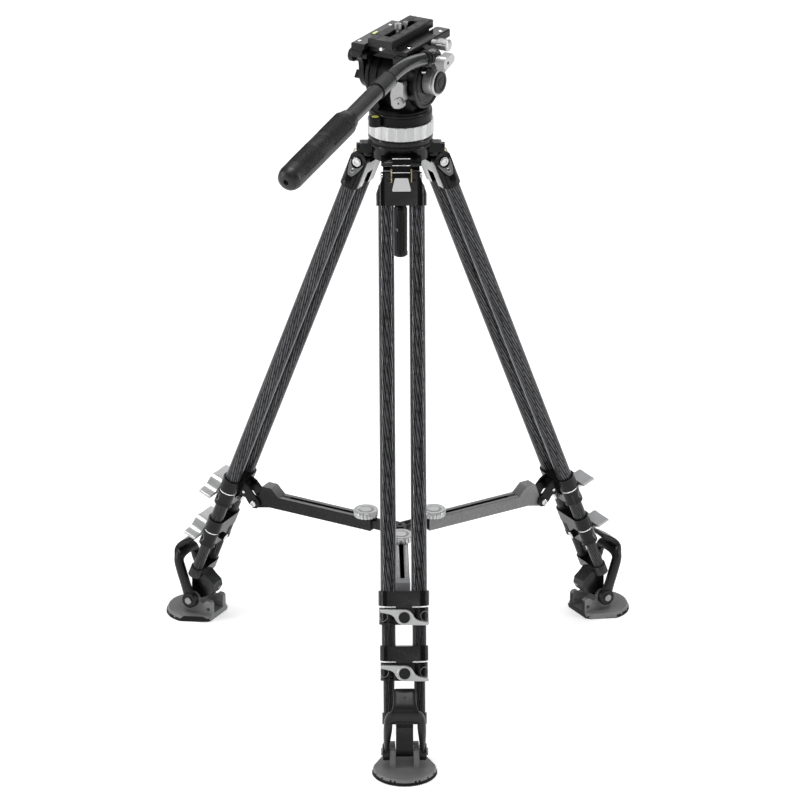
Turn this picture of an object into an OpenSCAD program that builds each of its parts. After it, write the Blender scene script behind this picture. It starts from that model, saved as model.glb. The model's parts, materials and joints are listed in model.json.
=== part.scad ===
// Video tripod with twin-tube legs, mid-level spreader and fluid head.
// Millimetres, +Z up. The origin is where the pan axis meets the floor.
// The front leg points along -Y, the other two stand 120 degrees either side.

/* [Stand] */
// Angle between each leg and the vertical, degrees
leg_angle = 21.8; // [18:0.1:26]
// Distance of each leg hinge pin from the pan axis
hinge_r = 55.2; // [52:0.1:58]
// Height of the leg hinge pins above the floor
hinge_z = 780.6; // [760:0.1:800]
// Height of the bowl rim above the floor
rim_z = 826; // [822:0.5:828]
// Outer radius of the bowl rim
rim_r = 45; // [43:0.5:50]

/* [Leg tubes] */
// Half the distance between the two tubes of a leg
tube_y = 21.5; // [20:0.1:24]
// Outer radius of the upper tubes
upper_r = 11.05; // [10.8:0.05:11.2]
// Inner radius of the upper tubes
upper_bore = 10.15; // [10:0.05:10.4]
// Outer radius of the middle tubes
middle_r = 9.8; // [9.4:0.05:9.85]
// Inner radius of the middle tubes
middle_bore = 8.25; // [8:0.05:8.5]
// Outer radius of the lower tubes
lower_r = 7.9; // [7.4:0.05:7.95]
// Inner radius of the lower tubes
lower_bore = 6.4; // [5:0.1:6.8]

/* [Leg stations] */
// Lower edge of the top casting, measured down the leg
cast_end = 44.4; // [42:0.2:48]
// Upper edge of the upper clamp
clamp_a_top = 582; // [578:1:586]
// Lower edge of the upper clamp
clamp_a_end = 629.5; // [627:0.5:632]
// Upper edge of the lower clamp
clamp_b_top = 659; // [656:1:662]
// Lower edge of the lower clamp
clamp_b_end = 708; // [705:1:710]
// Upper edge of the bottom casting
foot_top = 753; // [750:1:756]

/* [Feet] */
// Distance of the foot pivot from the pan axis
ankle_r = 345; // [343:0.5:347]
// Height of the foot pivot above the floor
ankle_z = 29.5; // [29:0.5:31]
// Radius of the foot pad
pad_r = 46; // [42:0.5:50]
// Thickness of the foot pad
pad_t = 9; // [6:0.5:10]

/* [Spreader] */
// Distance of the arm bolt from the pan axis
bolt_r = 238.5; // [237:0.5:240]
// Height of the arm bolt above the floor
bolt_z = 207; // [206:0.5:208]
// Width of the spreader arm
arm_w = 20; // [18:0.5:20.4]
// Distance of the hub pins from the pan axis
hub_pin_r = 16; // [15:0.5:18]
// Radius of the clamping knob
knob_r = 18; // [14:0.5:20]

/* [Head] */
// Heading of the head from the +X axis, degrees
head_turn = 59; // [0:1:90]
// Height of the tilt axis above the floor
tilt_z = 911; // [908:1:914]
// Height of the top of the camera plate
plate_z = 979; // [977:1:981]
// Length of the camera plate
plate_len = 115; // [100:1:125]
// Width of the top of the camera plate
plate_w = 38.6; // [36:0.2:39]
// Radius of the pan drag ring
ring_r = 46.3; // [44:0.1:48]

/* [Pan bar] */
// Distance of the bar from the head centre line
bar_v = 54; // [54:0.5:56]
// Radius of the bent rod
rod_r = 9.5; // [9:0.1:9.6]
// Radius of the sliding tube
bar_tube_r = 11.3; // [11:0.1:11.6]
// Radius of the grip
grip_r = 17.5; // [15:0.5:19]
// Length of the grip
grip_len = 168; // [140:1:175]

/* [Quality] */
// Facets of a full circle
fn_main = 64; // [32:4:96]
// Facets of the smaller round details
fn_small = 32; // [16:4:64]

/* [Output] */
// Sub-part to draw

/* [Hidden] */
eps = 0.01;
gap = 0.35;
az = [-90, 150, 30];
// hinge pin in the leg frame: out of the plane of the tubes, and down the leg
hinge_n = 0;
hinge_s = 3.8;
sn = sin(leg_angle);
cs = cos(leg_angle);
function leg_n(r, z) = (r - hinge_r) * cs + (z - hinge_z) * sn + hinge_n;
function leg_s(r, z) = (r - hinge_r) * sn - (z - hinge_z) * cs + hinge_s;
ankle_n = leg_n(ankle_r, ankle_z);
ankle_s = leg_s(ankle_r, ankle_z);
bolt_n = leg_n(bolt_r, bolt_z);
bolt_s = leg_s(bolt_r, bolt_z);
slit_a = clamp_a_top + 21;
slit_b = clamp_b_top + 21;
lever_a_s = clamp_a_top + 35.4;
lever_b_s = clamp_b_top + 36.7;
clamp_a_r = 14.1;
clamp_b_r = 12.5;
foot_r = 9.8;
// top casting: rounding round each tube, half width at the top, and where the tubes start
cast_r = 13.7;
cast_top_w = 25.6;
tube_start = 26;
pin_r = 4;
arm_z0 = 203.5;
arm_z1 = 222;
// centre of the pads and of their spreader lugs
pad_x = 349;
lug_x = 317;
lug_z = 17;
// camera screws in the slot of the plate, and the underside of their heads
wide_x = -7.4;
slim_x = 13.5;
screw_z = 958.2;
// tilt lock, plate lock and release button on the head
lock_y = -26;
lock_z = 904;
wing_x = -55;
plate_lock_x = 14;
plate_lock_z = 962;
button_y = -2;
button_z = 966.6;
// accessory threads on the crown
port_z = 805;
port_r = 4.76;
port_end = 44.5;
port_face = 61.4;
// pan bar clamp and the side view of the rod
bar_x = -13;
bar_z = 947;
rod_z = 950.4;
rod_rise = 9;
rod_fall = 12.9;
rod_lead = 38;
// the straight rods are this much thinner than the bend and run this far into it
seam_step = 0.05;
seam_lap = 2;
bend_r = 190;
// end of the bend, seen from the side of the head
bend_cx = bar_x - rod_lead * cos(rod_rise) - bend_r * sin(rod_rise);
bend_cz = rod_z + rod_lead * sin(rod_rise) - bend_r * cos(rod_rise);
bend_ex = bend_cx - bend_r * sin(rod_fall);
bend_ez = bend_cz + bend_r * cos(rod_fall);
collar_len = 33;
collar_r = 12.6;
bar_tube_len = 82;

// ---------- placing helpers ----------

// turn a part drawn along +X into the direction of one leg
module turned(i) {
    rotate([0, 0, az[i]]) children();
}

// leg frame: X outward from the tube plane, Y across the pair, -Z down the leg
module on_leg(i) {
    turned(i)
    translate([hinge_r, 0, hinge_z])
    rotate([0, -leg_angle, 0])
    translate([-hinge_n, 0, hinge_s])
    children();
}

// a profile drawn in radius and height, made solid across the leg
module across(y0, y1) {
    translate([0, y1, 0])
    rotate([90, 0, 0])
    linear_extrude(y1 - y0)
    children();
}

// a rod lying across the leg
module cross_rod(r, y0, y1, fn = fn_small) {
    translate([0, y0, 0])
    rotate([-90, 0, 0])
    cylinder(r = r, h = y1 - y0, $fn = fn);
}

// a rod pointing out of the leg
module out_rod(r, x0, x1, fn = fn_small) {
    translate([x0, 0, 0])
    rotate([0, 90, 0])
    cylinder(r = r, h = x1 - x0, $fn = fn);
}

// outline round both tubes
module pair_outline(r) {
    square([2 * r, 2 * tube_y], center = true);
    for (y = [-tube_y, tube_y])
        translate([0, y]) circle(r = r, $fn = fn_main);
}

module tube_pair(r, bore, s0, s1) {
    for (y = [-tube_y, tube_y])
        translate([0, y, -s1])
        difference() {
            cylinder(r = r, h = s1 - s0, $fn = fn_main);
            translate([0, 0, -1]) cylinder(r = bore, h = s1 - s0 + 2, $fn = fn_main);
        }
}

module pair_bores(r, s0, s1) {
    for (y = [-tube_y, tube_y])
        translate([0, y, -s1]) cylinder(r = r, h = s1 - s0, $fn = fn_main);
}

module band(r, s0, s1) {
    translate([0, 0, -s1]) linear_extrude(s1 - s0) pair_outline(r);
}

// ---------- crown ----------

module crown() {
    color([0.07, 0.07, 0.08])
    difference() {
        union() {
            rotate_extrude($fn = fn_main)
            polygon([[38.5, 796], [41, 794], [41, 812], [43, 814], [43, 817.5], [rim_r, 818.5],
                     [rim_r, rim_z - 1], [rim_r - 1, rim_z], [37.5, rim_z], [31, 806], [24, 800],
                     [24, 792]]);
            for (i = [0 : 2]) turned(i) crown_lug();
            for (a = [0, 180]) rotate([0, 0, a]) accessory_lug();
        }
        for (i = [0 : 2])
            turned(i) translate([hinge_r, 0, hinge_z]) cross_rod(pin_r, -14.6, 14.6);
        for (a = [0, 180])
            rotate([0, 0, a]) {
                translate([0, 0, port_z]) out_rod(port_r, port_end, port_face + 8);
                translate([port_face, -10, 795]) cube([8, 20, 20]);
            }
    }
}

// toothed knuckle that the leg hangs from, between two ears of the crown
module crown_lug() {
    across(-14.4, 14.4)
    polygon([[29, 795], [29, 803], [44, 807], [52, 807], [57, 798], [62.3, 789], [64.4, 781],
             [61.8, 774], [55.2, 771], [48.7, 773.4], [44.7, 780.4], [34, 787]]);
    for (at = [[51.8, 805.2], [57, 797], [61.8, 788.2]])
        translate([at[0], 0, at[1]]) cross_rod(1.5, -12.6, 12.6, 16);
    for (m = [-1, 1])
        translate([0, m * 20.2, 0]) across(-7.8, 7.8)
        polygon([[36, 796.2], [36, 806], [50, 806], [58.5, 801], [60, 797.6], [56, 796.2]]);
}

// threaded block for a monitor arm or light, with the small knob below it
module accessory_lug() {
    translate([38, -8, 799]) cube([19.5, 16, 13.5]);
    translate([57, 0, port_z]) out_rod(6.3, 0, port_face - 56.8);
    translate([46, 0, 793.2]) cylinder(r = 5.4, h = 7, $fn = fn_small);
}

module hinge_pins() {
    color([0.72, 0.73, 0.75])
    for (i = [0 : 2])
        turned(i) translate([hinge_r, 0, hinge_z]) {
            cross_rod(pin_r, -26, 26);
            for (m = [-1, 1])
                difference() {
                    translate([0, m * 27, 0]) cross_rod(6.8, -1.4, 1.4);
                    translate([0, m * 29, 0]) cross_rod(2.6, -1.6, 1.6, 6);
                }
        }
}

module ball_base() {
    color([0.08, 0.08, 0.09])
    difference() {
        rotate_extrude($fn = fn_main)
        polygon([[6.4, 796], [18, 799], [26, 805], [33, 814], [37, 825.4], [37, 827], [30, 827.2],
                 [30, 848.8], [6.4, 848.8]]);
        translate([0, 0, 795]) cylinder(r = 6.4, h = 60, $fn = fn_small);
    }
}

module bowl_handle() {
    color([0.06, 0.06, 0.07])
    difference() {
        rotate_extrude($fn = fn_main)
        polygon([[0, 641], [8.2, 641], [9.7, 643], [9.7, 712], [8, 716], [5, 718], [5, 786],
                 [5.6, 786], [5.6, 820], [0, 820]]);
        for (a = [0 : 30 : 330])
            rotate([0, 0, a]) translate([9.9, 0, 650]) cylinder(r = 1, h = 56, $fn = 12);
    }
    color([0.07, 0.07, 0.08])
    translate([0, 0, 776])
    difference() {
        cylinder(r = 20, h = 8, $fn = fn_main);
        translate([0, 0, -1]) cylinder(r = 5, h = 10, $fn = fn_small);
    }
}

// ---------- fluid head ----------

module drag_ring() {
    color([0.78, 0.79, 0.8])
    difference() {
        translate([0, 0, 827.5])
        rotate_extrude($fn = fn_main)
        polygon([[31, 0], [ring_r - 1, 0], [ring_r, 1.2], [ring_r, 19.8], [ring_r - 1, 21], [31, 21]]);
        for (a = [0 : 24 : 336])
            rotate([0, 0, a]) translate([ring_r + 3.4, 0, 826]) cylinder(r = 4.4, h = 24, $fn = fn_small);
    }
}

module in_head() {
    rotate([0, 0, head_turn]) children();
}

module pan_body() {
    color([0.05, 0.05, 0.06])
    in_head()
    difference() {
        union() {
            rotate_extrude($fn = fn_main)
            polygon([[0, 849.2], [43.6, 849.2], [44.5, 850.2], [44.5, 861], [43.5, 862], [41, 862.6],
                     [41, 867.2], [38, 869.5], [0, 870.2]]);
            translate([-48.3, 12.9, 849.2]) cylinder(r = 9, h = 12.8, $fn = fn_small);
            translate([-22, -32, 868]) cube([44, 71, tilt_z - 868]);
            translate([0, 0, tilt_z]) cross_rod(26, -32, 39, fn_main);
            translate([0, 0, tilt_z]) cross_rod(8, -60, 46);
            translate([0, lock_y, lock_z]) out_rod(4, -43, -20);
            translate([-30, 20, 874]) out_rod(7, -7, 10);
        }
        translate([-48.3, 12.9, 859.5]) cylinder(r = 6, h = 4, $fn = fn_small);
    }
}

// winged lever that locks the tilt
module tilt_lock() {
    color([0.8, 0.81, 0.82])
    in_head()
    translate([0, lock_y, lock_z])
    difference() {
        union() {
            out_rod(9.5, wing_x, wing_x + 11.6);
            translate([wing_x, 0, 0]) rotate([90, 0, 90])
            linear_extrude(11)
            polygon([[-8, 18], [8, 18], [10, 15], [9, 6], [11, -4], [9, -18], [5, -22], [-4, -21],
                     [-7, -14], [-11, -7], [-9, 4], [-10, 14]]);
        }
        out_rod(4 + gap, wing_x + 5, wing_x + 14);
    }
}

module tilt_body() {
    color([0.1, 0.1, 0.11])
    in_head()
    difference() {
        union() {
            // right cheek and its round cover
            translate([0, 0, tilt_z]) cross_rod(40, -42, -33, fn_main);
            translate([-32, -42, tilt_z + 20]) cube([64, 9, 948 - tilt_z - 20 + eps]);
            // left cheek
            translate([0, 0, tilt_z]) cross_rod(24, 40, 48, fn_main);
            translate([-24, 40, tilt_z]) cube([48, 8, 950 - tilt_z]);
            // floor and rails of the plate clamp
            difference() {
                translate([-58, -42, 948]) cube([112, 83, 9]);
                translate([-59, -21, 947]) cube([19, 42, 11]);
            }
            translate([-30, 40, 942]) cube([60, 8, 12]);
            rail_left();
            rail_right();
            // toothed mounts for the pan bar
            translate([bar_x, 0, bar_z]) cross_rod(13, -44.2, -41);
            translate([-24, 0, 938]) cross_rod(9, 47, 50);
            translate([-24, 0, 938]) cross_rod(8.3, 50 - eps, 58);
            // pointer of the tilt scale
            across(47, 60)
            polygon([[-26, 905], [-19, 905], [-19, 915]]);
        }
        translate([0, 0, tilt_z]) cross_rod(8 + gap, -70, 60);
        // plate knob bore
        translate([plate_lock_x, 0, plate_lock_z]) cross_rod(2.9 + gap, -46, -18);
    }
}

module rail_left() {
    translate([-66, 0, 0]) rotate([90, 0, 90])
    linear_extrude(110)
    polygon([[41, 956], [41, 970.8], [39.5, 972], [19.9, 972], [19.9, 966.2], [24, 961.4],
             [24, 956]]);
}

module rail_right() {
    translate([-55, 0, 0]) rotate([90, 0, 90])
    linear_extrude(120)
    polygon([[-42, 956], [-42, 965.6], [-40.6, 967], [-24, 967], [-19.9, 966.2], [-24, 961.4],
             [-24, 956]]);
}

module drag_knob() {
    in_head()
    translate([0, 0, tilt_z]) {
        color([0.8, 0.81, 0.82])
        difference() {
            union() {
                cross_rod(16.5, -58, -43.6, fn_main);
                cross_rod(17.5, -62.5, -58, fn_main);
            }
            cross_rod(8 + gap, -61, -43);
            for (a = [0 : 20 : 340])
                rotate([0, a, 0]) translate([18, 0, 0]) cross_rod(1.3, -63, -57.9, 16);
        }
        color([0.07, 0.07, 0.08])
        cross_rod(14.8, -65.4, -62.5, fn_main);
    }
}

module plate() {
    color([0.09, 0.09, 0.1])
    in_head()
    difference() {
        translate([-plate_len / 2, 0, 0]) rotate([90, 0, 90])
        linear_extrude(plate_len)
        polygon([[-23.5, 957.6], [23.5, 957.6], [23.5, 961.2], [plate_w / 2, 966],
                 [plate_w / 2, plate_z - 0.8], [plate_w / 2 - 0.8, plate_z],
                 [-plate_w / 2 + 0.8, plate_z], [-plate_w / 2, plate_z - 0.8], [-plate_w / 2, 966],
                 [-23.5, 961.2]]);
        // slot for the camera screws, with a wider recess below
        translate([-38, -5.2, 970]) cube([76, 10.4, 20]);
        translate([-42, -8.5, 957]) cube([84, 17, 8]);
        translate([-38, -5.2, 960]) cube([76, 10.4, 20]);
        // both ends stand clear of the clamp below the top slab
        for (x = [-plate_len / 2 - 1, plate_len / 2 - 11])
            translate([x, -25, 957]) cube([12, 50, 11]);
        translate([0, button_y, button_z]) out_rod(2.8, -60, -43);
    }
}

// captive screw: slotted head under the plate, thin shank, thread above the plate
module camera_screw(x, r, shank_r, top) {
    in_head()
    translate([x, 0, 0])
    difference() {
        union() {
            translate([0, 0, screw_z]) cylinder(r = 7.6, h = 6, $fn = fn_small);
            translate([0, 0, 964]) cylinder(r = shank_r, h = plate_z - 963, $fn = fn_small);
            translate([0, 0, plate_z + 0.4]) cylinder(r = r, h = top, $fn = fn_small);
        }
        translate([-9, -0.8, screw_z - 1]) cube([18, 1.6, 3]);
    }
}

module screw_wide() {
    color([0.82, 0.83, 0.84]) camera_screw(wide_x, 4.76, 3.6, 10);
}

module screw_slim() {
    color([0.82, 0.83, 0.84]) camera_screw(slim_x, 3.175, 2.4, 6.4);
}

module plate_knob() {
    color([0.8, 0.81, 0.82])
    in_head()
    translate([plate_lock_x, 0, plate_lock_z]) {
        cross_rod(2.9, -52, -25);
        cross_rod(5, -53, -43);
        difference() {
            cross_rod(8, -69, -52, fn_main);
            for (a = [0 : 30 : 330])
                rotate([0, a, 0]) translate([8.4, 0, 0]) cross_rod(0.9, -70, -51, 12);
        }
    }
}

module release_button() {
    color([0.85, 0.85, 0.83])
    in_head()
    translate([0, button_y, button_z]) out_rod(2.45, -59, -45.5);
}

// bar frame: origin on the straight part of the bar where the bend ends, -X towards the grip
module on_bar() {
    in_head()
    translate([bend_ex, -bar_v, bend_ez])
    rotate([0, -rod_fall, 0])
    children();
}

module handle_arm() {
    color([0.16, 0.16, 0.18])
    difference() {
        union() {
            in_head() {
                translate([bar_x, 0, bar_z]) cross_rod(13.5, -63.5, -44.6, fn_main);
                translate([bar_x, -bar_v, rod_z]) rotate([0, rod_rise, 0]) {
                    out_rod(12, -12, 12, fn_main);
                    out_rod(rod_r - seam_step, -rod_lead - seam_lap, 0, fn_main);
                }
                translate([bend_cx, -bar_v, bend_cz]) rotate([90, 0, 0])
                rotate([0, 0, 90 - rod_rise])
                rotate_extrude(angle = rod_rise + rod_fall, $fn = 2 * fn_main)
                translate([bend_r, 0]) circle(r = rod_r, $fn = fn_main);
            }
            on_bar() out_rod(rod_r - seam_step, -165, seam_lap, fn_main);
        }
        in_head() translate([bar_x, 0, bar_z]) cross_rod(3, -70, -58);
        // flat against the toothed mount of the clamp
        in_head() translate([bar_x - 30, -44.6, bar_z - 20]) cube([60, 10, 50]);
    }
}

module handle_wing() {
    color([0.8, 0.81, 0.82])
    in_head()
    translate([bar_x, 0, bar_z]) {
        cross_rod(2.7, -70, -58.5);
        cross_rod(7.5, -70.5, -66.4);
        difference() {
            rotate([0, -12, 0]) across(-83, -70)
            polygon([[-9, -9], [17, -6], [19, 0], [15, 7], [-8, 8], [-12, 0]]);
            cross_rod(2.4, -84, -80);
        }
    }
}

module handle_tube() {
    on_bar() {
        color([0.2, 0.2, 0.22])
        difference() {
            union() {
                out_rod(collar_r, -collar_len - 4, -4, fn_main);
                out_rod(bar_tube_r, -collar_len - bar_tube_len - 30, -collar_len, fn_main);
            }
            out_rod(rod_r + gap, -collar_len - bar_tube_len - 40, 10, fn_main);
        }
        color([0.09, 0.09, 0.1])
        translate([-collar_len - bar_tube_len, 0, 0]) rotate([0, -90, 0])
        difference() {
            rotate_extrude($fn = fn_main)
            polygon([[bar_tube_r, -2], [13.5, -2], [grip_r - 0.6, 9], [grip_r, 14],
                     [grip_r, grip_len - 14], [grip_r - 0.8, grip_len - 9],
                     [grip_r - 3, grip_len - 4], [grip_r - 8, grip_len - 0.8], [4, grip_len],
                     [2.5, grip_len - 4], [0, grip_len - 4], [0, 100], [10, 100],
                     [10, 29], [bar_tube_r, 29]]);
        }
    }
}

// ---------- legs ----------

module leg_top(i) {
    color([0.07, 0.07, 0.08])
    on_leg(i)
    difference() {
        intersection() {
            band(cast_r, -24, cast_end);
            // rounded top round the hinge pin
            across(-40, 40) {
                translate([hinge_n, -hinge_s]) circle(r = cast_r + 0.6, $fn = fn_main);
                translate([-20, -60]) square([40, 60 - hinge_s]);
            }
            // sides that spread towards the tubes
            translate([-20, 0, 0]) rotate([90, 0, 90])
            linear_extrude(40)
            polygon([[-cast_top_w, 14], [-cast_top_w, -4], [-40, -38.5], [-40, -60], [40, -60],
                     [40, -38.5], [cast_top_w, -4], [cast_top_w, 14]]);
        }
        pair_bores(upper_r, tube_start - 0.2, cast_end + 1);
        // room for the knuckle of the crown
        across(-14.9, 14.9)
        polygon([[-20, 20], [20, 20], [20, -6], [10.4, -6], [10.4, -9], [8, -12.5], [0, -14.8],
                 [-8, -12.5], [-10.9, -8], [-10.9, -2], [-20, -2]]);
        translate([hinge_n, 0, -hinge_s]) {
            cross_rod(pin_r + gap, -40, 40);
            // seats of the bolt heads
            for (m = [-1, 1]) translate([0, m * 32.6, 0]) cross_rod(8.2, -7.4, 7.4);
        }
        // seat of the angle lock tab
        translate([11.4, -13.8, -26]) cube([5, 27.6, 20.4]);
        translate([13, 0, -9]) cross_rod(1.4 + gap, -19.6, 19.6, 16);
        // recess between the tubes on the inner face
        translate([-15, -8, -cast_end - 1]) cube([10, 16, 24]);
    }
}

module angle_tab(i) {
    color([0.8, 0.81, 0.82])
    on_leg(i) {
        translate([12.5, 0, 0]) rotate([90, 0, 90])
        linear_extrude(2.6)
        polygon([[-8.6, -6.5], [8.6, -6.5], [9.4, -8], [13.2, -23.5], [12, -25], [-12, -25],
                 [-13.2, -23.5], [-9.4, -8]]);
        translate([13, 0, -9]) cross_rod(1.4, -19, 19, 16);
    }
}

module upper_tubes(i) {
    color([0.13, 0.13, 0.14])
    on_leg(i) tube_pair(upper_r - 0.02, upper_bore, tube_start, slit_a - 0.5);
}

module middle_tubes(i) {
    color([0.13, 0.13, 0.14])
    on_leg(i) tube_pair(middle_r, middle_bore, 96, slit_b - 0.5);
}

module clamp_shell(r, low_r, s0, s1, slit, seat_r, bore_r) {
    difference() {
        union() {
            band(r, s0, slit);
            band(r - 2, slit - 1, slit + 3);
            translate([0, 0, -s1])
            for (y = [-tube_y, tube_y])
                translate([0, y, 0]) cylinder(r = low_r, h = s1 - slit - 2.4, $fn = fn_main);
            translate([-low_r + 2, -tube_y, -s1]) cube([2 * low_r - 4, 2 * tube_y, s1 - slit]);
        }
        pair_bores(seat_r, s0 - 1, slit);
        pair_bores(bore_r, slit - 1, s1 + 1);
    }
}

module upper_clamp(i) {
    color([0.07, 0.07, 0.08])
    on_leg(i) {
        difference() {
            union() {
                clamp_shell(clamp_a_r, clamp_a_r - 1, clamp_a_top, clamp_a_end, slit_a, upper_r,
                            middle_r + gap);
                translate([0, 0, -lever_a_s]) out_rod(10, 8, 17.6);
                for (m = [-1, 1]) translate([0, m * 12.2, 0]) shackle_cheek();
            }
            translate([0, 0, -lever_a_s]) out_rod(3.2, -16, 20);
        }
        translate([bolt_n, 0, -bolt_s]) cross_rod(3, -14, 14);
    }
    color([0.75, 0.76, 0.77])
    on_leg(i) {
        translate([0, 0, -lever_a_s]) {
            out_rod(3.2, -14, 19);
            out_rod(6.5, -18.5, -11, 6);
        }
        for (m = [-1, 1]) {
            translate([bolt_n, m * 15.2, -bolt_s]) cross_rod(4.4, -1.3, 1.3);
            translate([-21.5, m * 14.8, -596.8]) cross_rod(2.2, -1.2, 1.2);
        }
    }
}

// one of the two cheeks that hold a spreader arm
module shackle_cheek() {
    across(-1.8, 1.8)
    polygon([[-10, -584], [-24, -586], [-36, -592], [-48, -597], [-52, -603], [-50, -610],
             [-44, -613], [-35, -610], [-26, -604], [-18, -606], [-10, -616]]);
}

module lower_clamp(i) {
    color([0.07, 0.07, 0.08])
    on_leg(i)
    difference() {
        union() {
            clamp_shell(clamp_b_r, clamp_b_r - 0.8, clamp_b_top, clamp_b_end, slit_b, middle_r + 0.02,
                        lower_r + gap);
            translate([0, 0, -lever_b_s]) out_rod(10, 8, 16);
        }
        translate([0, 0, -lever_b_s]) out_rod(3.2, -16, 20);
    }
    color([0.75, 0.76, 0.77])
    on_leg(i)
    translate([0, 0, -lever_b_s]) {
        out_rod(3.2, -12, 17.5);
        out_rod(6.5, -16.5, -9.5, 6);
    }
}

// S-shaped clamping lever, drawn about its own screw
module s_lever(x0) {
    color([0.8, 0.81, 0.82])
    difference() {
        union() {
            translate([x0, 0, 0]) rotate([90, 0, 90])
            linear_extrude(20)
            polygon([[-33, 12], [-33, 8], [-22, 5], [-14, 1], [-10, -4], [-6, -10], [0, -11.8],
                     [32, -11.8], [33, -10], [33, -6.5], [22, -4], [14, 0], [10, 5], [6, 10.5],
                     [0, 12.3], [-30, 13]]);
            out_rod(10.4, x0, x0 + 20, fn_main);
        }
        out_rod(3.2 + gap, x0 - 1, x0 + 2.4);
        out_rod(8, x0 + 19.2, x0 + 22, fn_main);
    }
    color([0.04, 0.04, 0.05])
    out_rod(7.7, x0 + 19, x0 + 20.2, fn_main);
}

module upper_lever(i) {
    on_leg(i) translate([0, 0, -lever_a_s]) s_lever(18.2);
}

module lower_lever(i) {
    on_leg(i) translate([0, 0, -lever_b_s]) s_lever(16.6);
}

// lower tubes bonded into the bottom casting, with the ankle and its axle
module lower_stage(i) {
    color([0.13, 0.13, 0.14])
    on_leg(i) tube_pair(lower_r, lower_bore, 132, foot_top + 12);
    color([0.07, 0.07, 0.08])
    on_leg(i) {
        difference() {
            union() {
                band(foot_r, foot_top, foot_top + 16);
                across(-12, 12)
                polygon([[-9, -764], [9.8, -764], [9, -774], [0, -798], [-2, -806], [-5, -813],
                         [-10, -816], [-15, -814], [-18, -808], [-26, -798], [-34, -790],
                         [-35, -780], [-30, -772], [-18, -768]]);
            }
            pair_bores(lower_r, foot_top - 1, foot_top + 12.02);
        }
    }
    color([0.7, 0.71, 0.72])
    on_leg(i)
    translate([ankle_n, 0, -ankle_s]) cross_rod(pin_r, -32.5, 32.5);
}

// rubber strap that latches the foot pad to the leg
module foot_lever(i) {
    color([0.1, 0.1, 0.11])
    on_leg(i)
    difference() {
        union() {
            difference() {
                across(-30, 30)
                polygon([[-17, -800], [-6, -794], [14, -771], [29, -755], [34, -748], [32, -741],
                         [22, -725], [22, -719], [27, -716], [33, -720], [42, -735], [47, -748],
                         [44, -758], [26, -779], [6, -802], [-2, -812]]);
                // opening above the foot
                translate([-40, -20.8, -830]) cube([120, 41.6, 68]);
                // narrow tab with flared shoulders
                for (m = [-1, 1])
                    translate([0, 0, -700]) rotate([0, 90, 0])
                    linear_extrude(70)
                    polygon([[0, m * 14.5], [34, m * 14.5], [42, m * 18], [54, m * 27], [66, m * 30],
                             [66, m * 40], [0, m * 40]]);
            }
            translate([ankle_n, 0, -ankle_s])
            for (m = [-1, 1]) translate([0, m * 25.4, 0]) cross_rod(10, -4.6, 4.6);
        }
        translate([ankle_n, 0, -ankle_s]) cross_rod(pin_r + gap, -40, 40);
    }
}

module pad(i) {
    color([0.22, 0.22, 0.23])
    turned(i)
    difference() {
        union() {
            intersection() {
                translate([pad_x, 0, 0]) {
                    cylinder(r1 = pad_r - 1.6, r2 = pad_r, h = 3, $fn = fn_main);
                    translate([0, 0, 3]) cylinder(r1 = pad_r, r2 = pad_r - 3, h = pad_t - 3, $fn = fn_main);
                }
                // straight sides that run back to the lugs
                translate([0, 0, -1]) linear_extrude(20)
                polygon([[311, -27.5], [311, 27.5], [400, 66.6], [400, -66.6]]);
            }
            for (m = [-1, 1])
                translate([0, m * 16.6, 0]) across(-3.8, 3.8)
                polygon([[311, 2], [311, 27], [314, 30], [320, 30], [326, 25], [333, 28],
                         [337, 35], [342, 38.3], [348, 38.3], [353, 35], [358, 8], [350, 2]]);
        }
        translate([ankle_r, 0, ankle_z]) cross_rod(pin_r + gap, -30, 30);
        translate([lug_x, 0, lug_z]) cross_rod(3, -30, 30);
    }
}

// ---------- spreader ----------

module arm(i) {
    color([0.12, 0.12, 0.13])
    turned(i)
    difference() {
        across(-arm_w / 2, arm_w / 2)
        polygon([[44, arm_z0], [214, arm_z0], [236, 198.6], [243, 200], [247, 205], [246, 212],
                 [240, 216], [232, 221], [227, 235], [212, 235], [199, arm_z1], [44, arm_z1]]);
        translate([bolt_r, 0, bolt_z]) cross_rod(3 + gap, -20, 20);
        // channel for the tongue
        translate([40, -7.2, arm_z0 + 2.7]) cube([160, 14.4, 13]);
        // slot along the top
        translate([50, -2.9, arm_z1 - 4]) cube([135, 5.8, 6]);
    }
}

module tongue(i) {
    color([0.3, 0.3, 0.32])
    turned(i)
    difference() {
        union() {
            translate([28, -6.8, arm_z0 + 3.1]) cube([152, 13.6, 12.2]);
            translate([hub_pin_r, -4.2, arm_z0 + 3.1]) cube([13, 8.4, 12.2]);
            translate([hub_pin_r, 0, arm_z0 + 9.2]) cross_rod(6.1, -4.2, 4.2);
        }
        translate([hub_pin_r, 0, arm_z0 + 9.2]) cross_rod(3.2, -10, 10);
    }
}

module hub() {
    color([0.1, 0.1, 0.11])
    difference() {
        union() {
            translate([0, 0, 205.5]) cylinder(r = 8.4, h = 15, $fn = fn_main);
            for (i = [0 : 2]) turned(i)
                for (m = [-1, 1])
                    translate([4, m * 6.4 - 1.6, 205.5]) cube([19, 3.2, 15]);
        }
        translate([0, 0, 200]) cylinder(r = 3, h = 30, $fn = fn_small);
    }
    color([0.72, 0.73, 0.75])
    for (i = [0 : 2])
        turned(i) translate([hub_pin_r, 0, arm_z0 + 9.2]) cross_rod(2, -9, 9);
}

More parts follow.
